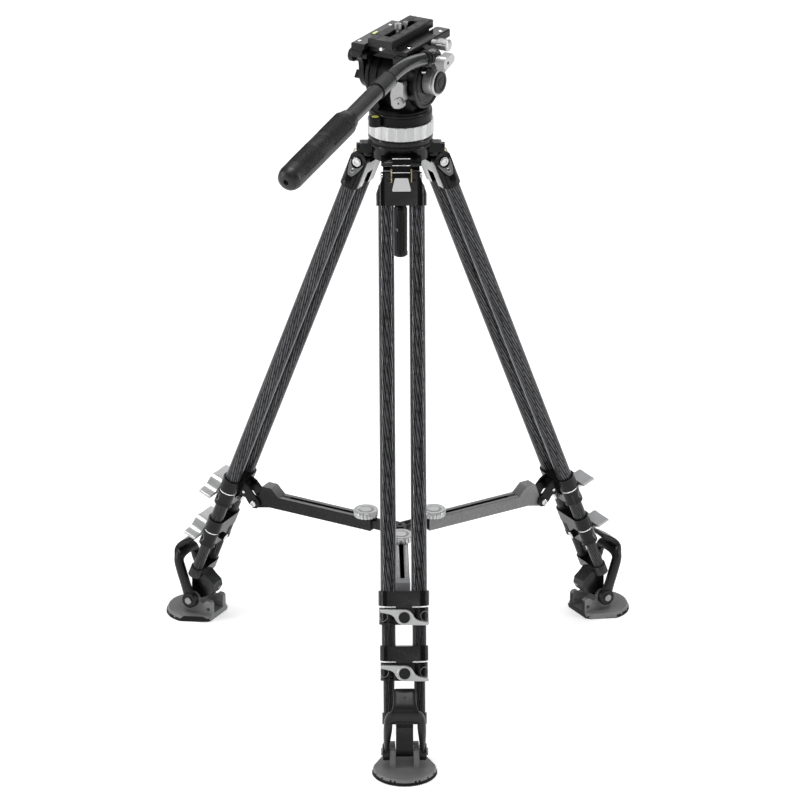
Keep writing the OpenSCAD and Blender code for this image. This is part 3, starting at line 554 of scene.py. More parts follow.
# ---------------------------------------------------------------- head
def head_details():
    """Drag ring, bowl lips, levels, drum, knobs, screws, plate pads, rails, cheeks and the bar clamp."""
    # drag ring: wide lands between upright ridges, fine lines round it
    z0, z1, r = 827.5, 848.5, 46.3
    rows, panel, hollow_depth, line_depth, ridge_height = 41, 15, 0.6, 0.12, 0.35
    profile = [(31, z0), (r - 1.6, z0), (r - 0.4, z0 + 0.5)]
    profile += [(r, z0 + 1.2 + (z1 - z0 - 2.4) * i / (rows - 1)) for i in range(rows)]
    profile += [(r - 0.4, z1 - 0.5), (r - 1.6, z1), (31, z1)]

    def ring_wobble(a, k):
        if k < 3 or k > 2 + rows:
            return 0.0
        s = (math.degrees(a) / panel) % 1.0
        ridge = math.exp(-((s - 0.5) / 0.05) ** 2)
        hollow = -hollow_depth * math.sin(math.pi * ((s + 0.5) % 1.0)) * (1 - ridge)
        lines = -line_depth * (k % 2) * (1 - ridge) if 5 < k < rows - 1 else 0.0
        return hollow + lines + ridge_height * ridge

    ring = piece("drag_ring_lined", lathe(profile, 480, ring_wobble), Matrix(), "pale_ring", "drag_ring",
                 angle=50)
    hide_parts("drag_ring")
    # lips of the bowl, and the upper edge of the pan base
    for name, body, profile in (
            ("bowl_lip", "crown", [(43.2, 812.5), (45.2, 813.4), (45.9, 815.2), (45.2, 817.0), (43.2, 817.8)]),
            ("bowl_rim", "crown", [(43.0, 821.0), (45.6, 821.4), (45.9, 823.8), (45.3, 826.2), (43.0, 826.4)]),
            ("pan_base_edge", "pan_body",
             [(41.0, 861.8), (43.8, 862.0), (44.1, 863.0), (43.2, 864.2), (41.0, 864.4)])):
        piece(name, lathe(profile + profile[:1], 128), Matrix(), "casting", body, angle=60)
    # bubble level
    at = turn_to(HEAD, (-48.3, 12.9, 861.6))
    piece("bubble_seat", lathe([(7.4, 0), (7.4, 0.8), (6.6, 1.2), (5.6, 0.9), (5.6, 0)], 48), at, "casting",
          "pan_body")
    piece("bubble_level", lathe([(5.5, 0), (5.4, 0.6), (4.2, 1.3), (2.2, 1.7), (0, 1.8)], 40), at, "vial",
          "pan_body")
    # drum round the tilt axis
    tilt = turn_to(HEAD, (0, 0, TILT_Z), (0, 1, 0))
    drum = [(20, -31.4), (33, -31.4), (35.6, -29.5), (35.6, -6), (34.4, -5), (34.4, -3), (35.6, -2), (35.6, 14),
            (33.8, 15.5), (33.8, 18.5), (35.6, 20), (35.6, 27), (33.8, 28.5), (33.8, 31), (35.6, 32.5),
            (35.6, 37), (33, 38.8), (20, 38.8)]
    piece("tilt_drum", lathe(drum, 96), tilt, "casting_flat", "pan_body")
    # round cover on the right cheek
    right = turn_to(HEAD, (0, -42, TILT_Z), (0, -1, 0))
    cover = [(39.9, -0.5), (39.9, 1.2), (38.6, 2.4), (36.0, 2.4), (34.8, 1.1), (32.2, 1.1), (30.8, 2.2),
             (24, 2.5), (19.5, 1.5), (18.4, 0.2), (18.4, -0.5)]
    piece("tilt_cover", lathe(cover, 96), right, "casting", "tilt_body")
    # drag knob: knurled barrel, polished ring, dark cap
    barrel = [(9, 1.6), (17.3, 1.6), (18.2, 2.4)] + [(18.4, 2.6 + 0.62 * i) for i in range(21)]
    barrel += [(18.2, 15.4), (17.6, 15.9), (18.6, 16.6), (19.2, 17.4), (19.2, 19.6), (18.6, 20.4), (16.4, 20.6),
               (15.6, 20.2), (9, 20.2)]

    def knurl(a, k):
        i = round(a / (2 * math.pi) * 180)
        return -0.18 * ((i + k) % 2) if 3 <= k < 24 else 0.0

    knob = piece("drag_knob_knurled", lathe(barrel, 180, knurl), right, "silver", "drag_knob", angle=60)
    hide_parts("drag_knob")
    cap = [(15.6, 19.5), (15.6, 22.2), (14.8, 23.2), (11.4, 23.4), (10.6, 22.6), (7.4, 22.3), (6.6, 22.9),
           (3.5, 23.1), (0, 23.1)]
    piece("drag_knob_cap", lathe(cap, 72), right, "plastic", "drag_knob")
    # knob of the plate lock
    lock = turn_to(HEAD, (14, -43, 962), (0, -1, 0))
    body = [(5, 0), (5, 8), (6.6, 8.6), (7.8, 9.6), (8.2, 12), (8.2, 22), (8.0, 23.6), (8.6, 24.4), (8.6, 25.4),
            (7.6, 26.3), (0, 26.9)]
    ribs = lambda a, k: -0.7 * abs(math.sin(a * 5)) ** 6 if 3 <= k <= 6 else 0.0
    knob = piece("plate_knob_ribbed", lathe(body, 120, ribs), lock, "silver", "plate_knob", angle=50)
    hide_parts("plate_knob")
    piece("plate_knob_screw", lathe([(2.8, -18), (2.8, 0.5), (0, 0.6)], 32), lock, "steel", "plate_knob")
    # camera screws with threads and a slotted top
    for node_name, x, r, top, pitch in (("screw_wide", -7.4, 4.76, 10, 1.6),
                                        ("screw_slim", 13.5, 3.175, 6.4, 1.27)):
        turns = int(top / pitch)
        rows_ = [(7.6, 958.2), (7.6, 964.2), (r * 0.76, 964.2), (r * 0.76, 979.6), (r * 0.86, 979.8)]
        for t in range(turns * 2):
            rows_.append((r if t % 2 else r * 0.92, 980.0 + (top - 0.9) * (t + 1) / (turns * 2)))
        rows_ += [(r * 0.8, SCREW_FOOT + top), (0, SCREW_FOOT + top)]
        s = piece(node_name + "_threaded", lathe(rows_, 40), turn_to(HEAD, (x, 0, 0)), "silver", node_name,
                  angle=70)
        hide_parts(node_name)
        head = SCREW_FOOT + top - 0.02
        # the slot is a thin black sheet on the head: painted shade
        piece(node_name + "_slot", tile(0, 0, r * 0.72, 0.45, 0.3, head, head + 0.15, 2),
              turn_to(HEAD, (x, 0, 0), spin=25), "dark", node_name)
    # plate top: rubber pads each side of the slot
    k = 0
    for x, w in ((-48.5, 7.2), (-30, 8.6), (-9.5, 9.2), (11.5, 9.2), (32, 8.6), (49.5, 6.4)):
        for y in (-12.2, 12.2):
            k += 1
            # a black rim a little larger than the pad, round it: painted shade
            piece("plate_pad_rim_%d" % k, tile(x, y, w + 0.7, 5.6, 2.6, PLATE_TOP, PLATE_TOP + 0.16), HEAD,
                  "dark", "plate")
            piece("plate_pad_%d" % k, tile(x, y, w, 4.9, 2.2, PLATE_TOP, PLATE_TOP + 0.45), HEAD, "pad_top",
                  "plate", width=0.15)
    for x in (-42.5, 43.0):
        piece("plate_pad_end_%s" % ("front" if x < 0 else "back"), tile(x, 0, 3.2, 6.2, 1.6, PLATE_TOP,
                PLATE_TOP + 0.4), HEAD, "pad_top", "plate", width=0.15)
    # painted shade: a thin black strip stands for the groove along the plate's sides
    for y in (-1, 1):
        piece("plate_groove_%s" % ("right" if y < 0 else "left"), tile(0, y * 19.25, 57.2, 0.25, 0.1, 971.2,
                972.6, 2), HEAD, "dark", "plate")
    # marks, panels and vial of the clamp rails
    tri = [(-2.6, -2.2), (2.6, -2.2), (0, 2.6)]
    for name, x, y, z, a in (("left_front", -55, 34, 972, 215), ("left_back", 26, 32, 972, 35),
                             ("right_front", -36, -34, 967, 215), ("right_back", 50, -35, 967, 35)):
        piece("rail_mark_" + name, prism(tri, 0, 0.25), turn_to(HEAD, (x, y, z), spin=a),
              "white_mark", "tilt_body")
    piece("rail_vial_seat", tile(-16, 31.5, 8.4, 3.4, 1.6, RAIL_LEFT, RAIL_LEFT + 0.5), HEAD, "casting_flat",
          "tilt_body", width=0.2)
    piece("rail_vial", tile(-16, 31.5, 6.2, 2.2, 1.9, RAIL_LEFT + 0.2, RAIL_LEFT + 1.4), HEAD, "vial",
          "tilt_body", width=0.5)
    for name, xa, xb in (("a", -26, -1), ("b", 1, 30)):
        middle, half = (xa + xb) / 2, (xb - xa) / 2
        piece("rail_panel_" + name, tile(middle, -32.2, half, 6.6, 0.8, RAIL_RIGHT, RAIL_RIGHT + 0.5), HEAD,
              "plate_grey", "tilt_body", width=0.15)
    for name, x in (("a", 0), ("b", 31.2)):
        piece("rail_line_" + name, tile(x, -31.6, 0.3, 7.6, 0.2, RAIL_RIGHT + 0.1, RAIL_RIGHT + 0.65, 2), HEAD,
              "inlay", "tilt_body")
    # front lips of the rails
    for name, x0, x1, y0, y1, top in (("left", -66.8, -61, 25.5, 41.2, 961.5),
                                      ("right", -57.4, -52, -41.8, -25, 960.5)):
        piece("rail_lip_" + name, prism([(x0, y0), (x1, y0), (x1, y1), (x0, y1)], 951.5, top), HEAD, "casting",
              "tilt_body", width=0.9)
    # counterbalance dial
    dial = lambda a, k: -0.7 * (round(a / (2 * math.pi) * 96) // 2 % 2) if 1 <= k <= 2 else 0.0
    piece("balance_dial", lathe([(6, 0), (9.6, 1), (9.6, 7), (8.4, 8), (5, 8.3), (4.2, 7.4), (0, 7.4)], 96,
                                dial), turn_to(HEAD, (-54, 41, 950), (0, 1, 0)), "plastic", "tilt_body",
          angle=50)
    # left cheek, swept down from the rail to the tilt axis
    curve = spline([(-50, 0), (-44, -6), (-37, -14), (-34, -24), (-34, -36), (-30, -48), (-20, -58), (-6, -63),
                    (8, -61)], 5, False)
    inner = [(x + 7 * min(1, 0.35 + i / 14), z + 3.0 * min(1, i / 20)) for i, (x, z) in enumerate(curve)]
    outline = curve + inner[::-1]
    cheek = moved(prism([(x, -z) for x, z in outline][::-1], 0, 8), dz=-2)
    piece("cheek_rib_left", cheek, basis(HEAD @ Vector((0, 0.042, 0.951)), HEAD.col[0].xyz, -UP,
                                         HEAD.col[1].xyz), "casting", "tilt_body", width=1.2)
    # tilt lock cap and rivet
    cap_at = turn_to(HEAD, (-55.1, -30, 892), (-1, 0, 0))
    piece("tilt_lock_cap", lathe([(8.0, -3), (8.0, 1.6), (7.0, 2.8), (3.0, 3.2), (0, 3.2)], 48), cap_at,
          "lock_silver", "tilt_lock")
    piece("tilt_lock_rivet", lathe([(1.4, 3.1), (1.3, 3.6), (0, 3.8)], 24), cap_at, "dark", "tilt_lock")
    piece("tilt_lock_spindle", lathe([(3.2, 0), (3.2, 9), (0, 9)], 32),
          turn_to(HEAD, (-54, -26, 904), (1, 0, 0)), "steel", "tilt_lock")
    # wing of the bar clamp
    wing_at = turn_to(HEAD, (-13, -83, 947), (0, -1, 0))
    # the hole is a black disc: painted shade
    piece("bar_wing_hole", lathe([(2.3, -0.6), (2.3, 0.12), (0, 0.12)], 32), wing_at, "dark", "handle_wing")
    piece("bar_wing_hub", lathe([(8.6, -13), (8.6, -2), (7.6, -0.4), (3.2, 0.05), (2.6, 0.05)], 48), wing_at,
          "silver", "handle_wing")
    # black ring between the clamp and the bent rod
    rise = math.radians(9)
    rod = turn_to(HEAD, (-13, BAR_Y, BAR_Z), (-math.cos(rise), 0, math.sin(rise)))
    ring = [(9.4, 11.4), (11.0, 11.8), (11.3, 13), (11.3, 16.5), (10.8, 17.6), (9.4, 18)]
    piece("rod_ring", lathe(ring, 64), rod, "plastic", "handle_arm")
    screw = turn_to(HEAD, (-30, BAR_Y, 935.2), (0, 0, -1))
    piece("rod_screw", lathe([(3.2, 0), (3.2, 2.0), (2.4, 2.6), (0, 2.6)], 32), screw, "steel", "handle_arm")
    # rings of the sliding tube
    collar = [(11.7, -0.9), (12.9, -0.7), (12.9, 0.7), (11.7, 0.9)]
    for name, x in (("upper", -4.4), ("lower", -36.6)):
        piece("collar_ring_" + name, lathe(collar, 64), turn_to(BAR, (x, 0, 0), (1, 0, 0)), "casting_flat",
              "handle_tube")


def grip_details():
    """Two dotted panels with an outline, an oval between them, a plain cap with a hole."""
    base, r = -115.0, 17.5
    facing = 118.0  # turn of the panels round the bar

    def on_grip(x, a, lift=0.0):
        t = math.radians(facing + a)
        return (x, (r + lift) * math.cos(t), (r + lift) * math.sin(t))

    dots = []
    for x0 in (base - 16, base - 95):
        for i in range(13):
            for j in range(11):
                cx, ca = x0 - 3.4 * i - 3.0, (j - 5) * 9.0 + (4.5 if i % 2 else 0)
                if ca > 47:
                    continue
                t = math.radians(facing + ca)
                out = Vector((0, math.cos(t), math.sin(t)))
                ring = lathe([(1.2, -0.2), (1.1, 0.5), (0.7, 0.85), (0, 0.95)], 8)
                m = basis(Vector(on_grip(cx, ca)), Vector((1, 0, 0)), out.cross(Vector((1, 0, 0))), out)
                dots.append(([tuple(m @ Vector(v)) for v in ring[0]], ring[1]))
    piece("grip_dots", merged(*dots), BAR, "grip", "handle_tube", angle=60)
    for name, x0, x1 in (("upper", base - 13.5, base - 65), ("lower", base - 92.5, base - 144)):
        mid, hw = (x0 + x1) / 2, abs(x1 - x0) / 2
        ring = [on_grip(mid + u, v, 0.1) for u, v in rounded(hw, 55, 5, 6)]
        piece("grip_border_" + name, wire(ring, 1.1, 8, True), BAR, "grip", "handle_tube", angle=70)
        # a black wire just outside each border: painted shade in the groove
        ring = [on_grip(mid + u * 1.035, v * 1.05, 0.02) for u, v in rounded(hw, 55, 5, 6)]
        piece("grip_groove_" + name, wire(ring, 0.75, 6, True), BAR, "dark", "handle_tube", angle=70)
    for name, length, across, thick in (("grip_oval", 11, 38, 0.8), ("grip_oval_inner", 6, 22, 0.7)):
        turns = [t / 24 * math.pi for t in range(48)]
        oval = [on_grip(base - 79 + length * math.cos(t), across * math.sin(t)) for t in turns]
        piece(name, wire(oval, thick, 8, True), BAR, "grip", "handle_tube", angle=70)
    # the cap's hole is a black disc: painted shade
    piece("grip_end_hole", lathe([(3.0, -0.3), (3.0, 0.2), (0, 0.2)], 32),
          turn_to(BAR, (base - 164.1, 0, 0), (-1, 0, 0)), "dark", "handle_tube")
    piece("grip_neck", lathe([(11.4, -2), (13.2, -2), (14.2, 0), (14.2, 2), (13.4, 3.4), (11.4, 3.4)], 64),
          turn_to(BAR, (base + 1, 0, 0), (-1, 0, 0)), "grip", "handle_tube")


# ---------------------------------------------------------------- crown and bowl handle
def crown_details():
    """Ribbed bowl handle and the accessory ports."""
    ribs = lambda a, k: -0.9 * (math.cos(a * 14) < -0.1) if 3 <= k <= 12 else 0.0
    body = [(0, 640.9), (8.0, 640.9), (9.2, 641.8), (9.7, 644)] + [(9.7, 646 + 7.6 * i) for i in range(9)]
    body += [(9.4, 710.4), (8.6, 713), (6.2, 716), (5, 717), (5, 722)]
    piece("bowl_handle_ribs", lathe(body, 168, ribs), Matrix(), "plastic", "bowl_handle", angle=40)
    ring = [(8.8, 642.4), (10.2, 642.8), (10.4, 645), (10.2, 647.2), (8.8, 647.6)]
    piece("bowl_handle_ring", lathe(ring + ring[:1], 64), Matrix(), "casting", "bowl_handle", angle=60)
    turns = [t / 10 * math.pi for t in range(20)]
    loop = [(2.6 * math.cos(t), 0, 1.9 * math.sin(t)) for t in turns]
    piece("bowl_handle_loop", wire(loop, 0.5, 8, True), turn_to(Matrix(), (-5.5, -8.9, 683), spin=30),
          "inlay", "bowl_handle")
    teeth = lambda a, k: -0.5 * (round(a / (2 * math.pi) * 72) // 2 % 2) if 1 <= k <= 2 else 0.0
    for name, side in (("left", -1), ("right", 1)):
        at = turn_to(Matrix(), (side * 46, 0, 792.6))
        piece("port_knob_" + name, lathe([(5.0, 0), (5.9, 0.6), (5.9, 5.6), (5.0, 6.2)], 72, teeth), at,
              "plastic", "crown", angle=50)
        face = turn_to(Matrix(), (side * PORT_X, 0, PORT_Z), (side, 0, 0))
        piece("port_ring_" + name, lathe([(4.8, 0.0), (6.4, 0.0), (6.4, 0.5), (5.9, 0.9), (4.8, 0.9)], 48),
              face, "inlay", "crown")
        piece("port_top_" + name, tile(0, 0, 8.0, 6.2, 0.9, 0, 0.5), turn_to(Matrix(), (side * 48.6, 0, 812.4)),
              "arm_grey", "crown", width=0.25)


def leg_details(leg):
    """Inlays, screws, springs and painted highlights on the comb of the top casting, and the marks of the
    clamps.
    """
    f = leg_frame(leg)
    body = "leg_" + leg
    for side, tag in sides(leg):
        # grey inlay below the hinge bolt, on the slanted side of the casting
        outer = []
        for z in (-4, -7, -10, -13, -16, -19, -21.5, -23.4, -24.6):
            y = FLANK_Y + (FLANK_TOP - z) * FLANK_SLOPE
            outer.append((math.sqrt(max(13.7 ** 2 - (y - TUBE_Y) ** 2, 0)) - 2.1, z))
        path = outer + [(-x, z) for x, z in outer[::-1]]
        path += [(9.1 * math.cos(math.radians(t)), -PIN_S + 9.1 * math.sin(math.radians(t)))
                 for t in range(190, 351, 16)]
        verts = [(x, side * (FLANK_Y + (FLANK_TOP - z) * FLANK_SLOPE + lift), z)
                 for lift in (-0.3, 0.35) for x, z in path]
        faces = prism(path, 0, 1)[1]
        piece("leg_inlay_" + tag, (verts, faces), f, "inlay", body)
        down = Vector((0, side, FLANK_SLOPE)).normalized()
        screw = turn_to(f, (0, side * 31.4, -17.2), down)
        piece("leg_screw_" + tag, lathe([(2.9, -0.4), (2.9, 0.5), (2.3, 0.9), (0, 0.9)], 28), screw, "steel",
              body)
        # the cross recess is a black cross on the head: painted shade
        cross = [(1.7, 0.35), (0.35, 0.35), (0.35, 1.7), (-0.35, 1.7), (-0.35, 0.35), (-1.7, 0.35),
                 (-1.7, -0.35), (-0.35, -0.35), (-0.35, -1.7), (0.35, -1.7), (0.35, -0.35), (1.7, -0.35)]
        piece("leg_screw_cross_" + tag, prism(cross, 0.88, 0.98), screw, "dark", body)
        # lobed head of the hinge bolt
        bolt = turn_to(f, (0, side * 28.2, -PIN_S), (0, side, 0))
        lobes = lambda a, k: -0.5 * (math.cos(a * 6) > 0.45) if k == 1 else 0.0
        piece("hinge_bolt_" + tag, lathe([(5.9, -0.3), (5.9, 0.5), (5.2, 1.0), (3.1, 1.1), (2.6, 0.3),
                                          (0, 0.2)], 48, lobes), bolt, "steel", "crown")
        # return spring of the angle lock
        x, y, turns, high, deep, steps = 15.2, side * 13.9, 13, 6.0, -12.5, 9
        coil = []
        for i in range(turns * steps + 1):
            t = i * turns * 2 * math.pi / (turns * steps)
            coil.append((x + 0.75 * math.cos(t), y + 0.75 * math.sin(t),
                         high + (deep - high) * t / (turns * 2 * math.pi)))
        top, low = f @ (Vector((x, y, 12)) * MM), f @ (Vector((x, y, -8)) * MM)
        piece("tab_spring_" + tag, wire(coil, 0.42, 6), f, "brass", None, angle=80,
              blend=("crown", body, tuple(top), tuple(low)))
    # painted highlights: pale wires along the tops of the comb's bars between the springs
    g = ground_frame(leg)
    for k, (out, high) in enumerate(((51.8, 805.2), (57.0, 797.0), (61.8, 788.2))):
        bar = wire([(out + 1.2, y, high + 0.95) for y in (-12.4, -6, 0, 6, 12.4)], 0.5, 8)
        piece("crown_comb_%d_%s" % (k, leg), bar, g, "pale_face", "crown", angle=60)
    # clamp seams, sleeve rings and lens marks
    for n, host, r, low, slit, end, lever in (("upper", body, 14.1, 13.1, 603, 629.5, UPPER_LEVER),
                                              ("lower", "middle_" + leg, 12.5, 11.7, 680, 708, LOWER_LEVER)):
        band = [(x, y + TUBE_Y) for x, y in circle(r - 1.3, 20, 0, 180)]
        band += [(x, y - TUBE_Y) for x, y in circle(r - 1.3, 20, 180, 360)]
        band = [(x if abs(x) > 1e-9 else 0, y) for x, y in band]
        piece("%s_clamp_seam_%s" % (n, leg), prism(band, -slit - 2.2, -slit - 0.4), f, "pale_face", host)
        bridge = [(r - 4, -11.5), (r + 0.1, -11.5), (r + 0.1, 11.5), (r - 4, 11.5)]
        piece("%s_clamp_bridge_%s" % (n, leg), prism(bridge, -slit - 4, -slit + 2), f, "casting", host,
              width=0.5)
        for side, tag in sides("%s_%s" % (n, leg)):
            for k, (zz, hh) in enumerate(((-end, 2.6), (-end + 5.4, 0.9))):
                ring = [(low - 1, 0), (low + 0.55, 0.25), (low + 0.55, hh - 0.25), (low - 1, hh)]
                piece("clamp_ring_%d_%s" % (k, tag), lathe(ring + ring[:1], 56),
                      turn_to(f, (0, side * TUBE_Y, zz)), "casting", host)
            # round mark on the flank of the sleeve, wrapped on its surface
            lens, lens_r, round_, skin = [], 7.0, 0.66, low + 0.12
            for t in [i * math.pi / 20 for i in range(40)]:
                a = round_ + lens_r * math.cos(t) / low
                lens.append((skin * math.cos(a), side * (TUBE_Y + skin * math.sin(a)),
                             -lever + lens_r * math.sin(t)))
            piece("clamp_lens_" + tag, wire(lens, 0.42, 6, True), f, "inlay", host, angle=80)


def s_lever(leg, n, x0, s):
    """S-shaped lever with a black disc on its screw, from x0 outwards, s below the origin of the leg frame."""
    f = turn_to(leg_frame(leg), (0, 0, -s), (1, 0, 0))
    depth, flatten = 19.6, 0.86
    # outline in (y, z) of the leg frame; the lever frame has Z outwards
    half = spline([(-33.2, 12.6), (-33.6, 10.4), (-32.8, 8.4), (-27, 7.0), (-20, 5.2), (-14.8, 1.4),
                   (-12.0, -4.2), (-8.6, -9.0), (-3.4, -11.9)], 5, False)
    lower = [(x, y * flatten) for x, y in half + [(4, -12.2), (16, -12.4), (26, -12.6)]]
    outline = lower + [(-x, -y) for x, y in lower]
    to_local = f.inverted() @ leg_frame(leg)
    pts = [to_local @ (Vector((0, y, z - s)) * MM) * 1000 for y, z in outline]
    pts = [(p.x, p.y) for p in pts]
    if sum(a[0] * b[1] - a[1] * b[0] for a, b in zip(pts, pts[1:] + pts[:1])) < 0:
        pts = pts[::-1]
    body = "%s_lever_%s" % (n, leg)
    lever = piece(body + "_curved", prism(pts, x0, x0 + depth), f, "silver", body, width=0.9, angle=40)
    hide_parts(body)
    boss = [(10.5, 12), (10.5, 19.6), (9.9, 20.4), (8.5, 20.4), (8.0, 19.8), (0, 19.8)]
    disc = [(7.8, 19.0), (7.8, 20.0), (7.2, 20.5), (0, 20.6)]
    for part, profile, seg, material in (("_boss", boss, 64, "silver"), ("_disc", disc, 56, "plastic")):
        piece(body + part, lathe([(r, x0 + h) for r, h in profile], seg), f, material, body)


def foot_strap(leg):
    """Rubber strap: tab, shoulders and two arms down to the ankle bosses, as one smooth skin."""
    f = leg_frame(leg)
    body = "foot_lever_" + leg
    # sections down the strap: out of the tube plane, height, half width, thickness, half gap between the arms
    rows = [(23.5, -717.5, 14.0, 2.5, 0), (26.5, -720.5, 16.4, 6.5, 0), (31.0, -727.5, 15.9, 8.5, 0),
            (37.5, -737, 15.9, 9.0, 0), (43.0, -745.5, 18.5, 10.0, 0), (43.0, -750.5, 22.0, 9.0, 0),
            (36.5, -753, 26.4, 14.0, 0), (32.0, -760, 29.2, 16.5, 0), (27.2, -766.5, 30.2, 17.5, 16.5),
            (18.2, -777, 30.6, 18.0, 17.2), (6.8, -789.5, 30.2, 18.0, 19.4), (-3.6, -801, 29.6, 20.5, 20.8),
            (-9.9, -808.8, 29.2, 22.5, 20.8), (-13.5, -815.0, 28.8, 14, 20.8)]
    verts, faces = [], []
    for i, (n, z, w, t, g) in enumerate(rows):
        a, b = rows[max(i - 1, 0)], rows[min(i + 1, len(rows) - 1)]
        d = Vector((b[0] - a[0], b[1] - a[1])).normalized()
        nor = Vector((-d.y, d.x)) * (t / 2)
        gap_ = g or w * 0.62
        for s in (1, -1):
            for y in (-w, -gap_, gap_, w):
                verts.append((n + s * nor.x, y, z + s * nor.y))
    idx = lambda i, s, k: i * 8 + s * 4 + k
    last = len(rows) - 1
    for i in range(last):
        for k in (0, 1, 2):
            if k == 1 and rows[i + 1][4]:
                continue
            faces.append((idx(i, 0, k), idx(i, 0, k + 1), idx(i + 1, 0, k + 1), idx(i + 1, 0, k)))
            faces.append((idx(i, 1, k + 1), idx(i, 1, k), idx(i + 1, 1, k), idx(i + 1, 1, k + 1)))
        for k in (0, 3):
            faces.append((idx(i, 0, k), idx(i + 1, 0, k), idx(i + 1, 1, k), idx(i, 1, k)))
        if rows[i + 1][4]:
            for k in (1, 2):
                faces.append((idx(i, 0, k), idx(i, 1, k), idx(i + 1, 1, k), idx(i + 1, 0, k)))
    first_gap = next(i for i, q in enumerate(rows) if q[4]) - 1
    faces.append((idx(first_gap, 0, 1), idx(first_gap, 0, 2), idx(first_gap, 1, 2), idx(first_gap, 1, 1)))
    for k in (0, 1, 2):
        faces.append((idx(0, 0, k + 1), idx(0, 0, k), idx(0, 1, k), idx(0, 1, k + 1)))
    for k in (0, 2):
        faces.append((idx(last, 0, k), idx(last, 0, k + 1), idx(last, 1, k + 1), idx(last, 1, k)))
    strap = piece(body + "_skin", (verts, faces), f, "strap", body, subdiv=2)
    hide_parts(body)
    for side, tag in sides(leg):
        at = turn_to(f, (ANKLE[0], side * ANKLE[1], ANKLE[2]), (0, side, 0))
        boss = [(4.2, 0), (11.6, 0), (12.4, 1.2), (12.4, 8.2), (11.4, 9.8), (10.2, 10.1), (9.6, 9.5),
                (6.6, 9.6), (6.1, 10.2), (5.2, 10.2)]
        piece("ankle_boss_" + tag, lathe(boss, 56), at, "strap", body)
        cap = [(5.4, 8), (5.4, 11.6), (4.9, 12.1), (0, 12.2)]
        piece("ankle_cap_" + tag, lathe(cap, 40), at, "inlay", "lower_" + leg)
    catch = turn_to(f, (38.2, 0, -731.5), (0.85, 0, 0.52), 90)
    piece("strap_catch_" + leg, tile(0, 0, 5.2, 1.2, 0.8, 0, 0.7), catch, "strap", body, width=0.3)


def pad_details(leg):
    """Grip teeth under the rim of the foot pad, and its raised top."""
    g = ground_frame(leg)
    body = "pad_" + leg
    centre, radius, lug_end, lug_half, widening = 349, 46, 311, 27.5, 0.4393

    def outline(shrink):
        """Plan of the pad: round in front, straight sides back to the lugs."""
        pts = []
        r = radius - shrink
        for t in range(-104, 105, 4):
            x, y = centre + r * math.cos(math.radians(t)), r * math.sin(math.radians(t))
            lim = lug_half + (x - lug_end) * widening - shrink * 1.1
            if abs(y) > lim:
                y = math.copysign(lim, y)
            pts.append((x, y))
        return pts

    edge = [p for p in outline(0.2) if p[0] > 318]
    teeth = []
    for i in range(len(edge) - 1):
        a, b = Vector(edge[i]), Vector(edge[i + 1])
        n = max(1, int((b - a).length / 3.0))
        for k in range(n):
            c = a.lerp(b, (k + 0.5) / n)
            d = (b - a).normalized()
            out = Vector((d.y, -d.x))
            q = [c + d * u + out * v for u, v in ((-0.9, -2.2), (0.9, -2.2), (0.9, 0.35), (-0.9, 0.35))]
            teeth.append(prism([(p.x, p.y) for p in q], 0.15, 1.6))
    piece("pad_teeth_" + leg, merged(*teeth), g, "pad_edge", body)
    top = outline(6.5)
    piece("pad_top_" + leg, prism([p for p in top if p[0] > 332], 8.7, 9.35), g, "pad", body, width=0.3)


def arm_details(leg):
    """Top faces, slot and bolts of the spreader arm, and its scalloped knob."""
    g = ground_frame(leg)
    body = "arm_" + leg
    for side, tag in sides(leg):
        piece("arm_top_" + tag, tile(122, side * 6.3, 76, 2.9, 0.8, 221.7, 222.2), g, "arm_top", body,
              width=0.15)
        bolt = [(4.6, 0), (4.6, 1.6), (3.8, 2.2), (2.2, 2.2), (1.8, 1.2), (0, 1.2)]
        piece("arm_bolt_" + tag, lathe(bolt, 36), turn_to(g, (238.5, side * 16.4, 207), (0, side, 0)),
              "steel", "leg_" + leg)
    # the slot is a thin black sheet inside it: painted shade
    piece("arm_slot_" + leg, tile(118, 0, 66, 2.6, 2.4, 218.2, 218.8), g, "dark", body)
    # scalloped clamping knob
    k = turn_to(g, (57, 0, 222.4))
    wob = lambda a, i: -1.5 * max(0.0, math.cos(a * 20)) ** 2 if 1 <= i <= 4 else 0.0
    body = "arm_knob_" + leg
    grip = [(14.5, 0), (17.2, 0.2), (18.0, 1.2), (18.0, 8.0), (17.2, 9.3), (15.6, 9.7), (8.2, 9.7), (7.6, 9.2),
            (7.6, 7.2), (0, 7.2)]
    knob = piece(body + "_scalloped", lathe(grip, 200, wob), k, "silver", body, angle=50)
    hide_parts(body)
    # the recessed middle of the knob is a black disc: painted shade
    piece(body + "_well", lathe([(7.5, 7.1), (7.5, 7.4), (0, 7.4)], 40), k, "dark", body)
    piece(body + "_screw", lathe([(3.4, 7.3), (3.4, 9.0), (2.6, 9.5), (1.4, 9.5), (1.2, 8.6), (0, 8.6)], 32), k,
          "steel", body)
    piece(body + "_collar", lathe([(16.4, 9.65), (16.6, 10.1), (15.6, 10.4), (11.0, 10.4), (10.2, 10.0),
                                   (10.2, 9.6)], 64), k, "silver", body)


head_details()
grip_details()
crown_details()
for leg in LEGS:
    leg_details(leg)
    s_lever(leg, "upper", 18.2, UPPER_LEVER)
    s_lever(leg, "lower", 16.6, LOWER_LEVER)
    foot_strap(leg)
    pad_details(leg)
    arm_details(leg)


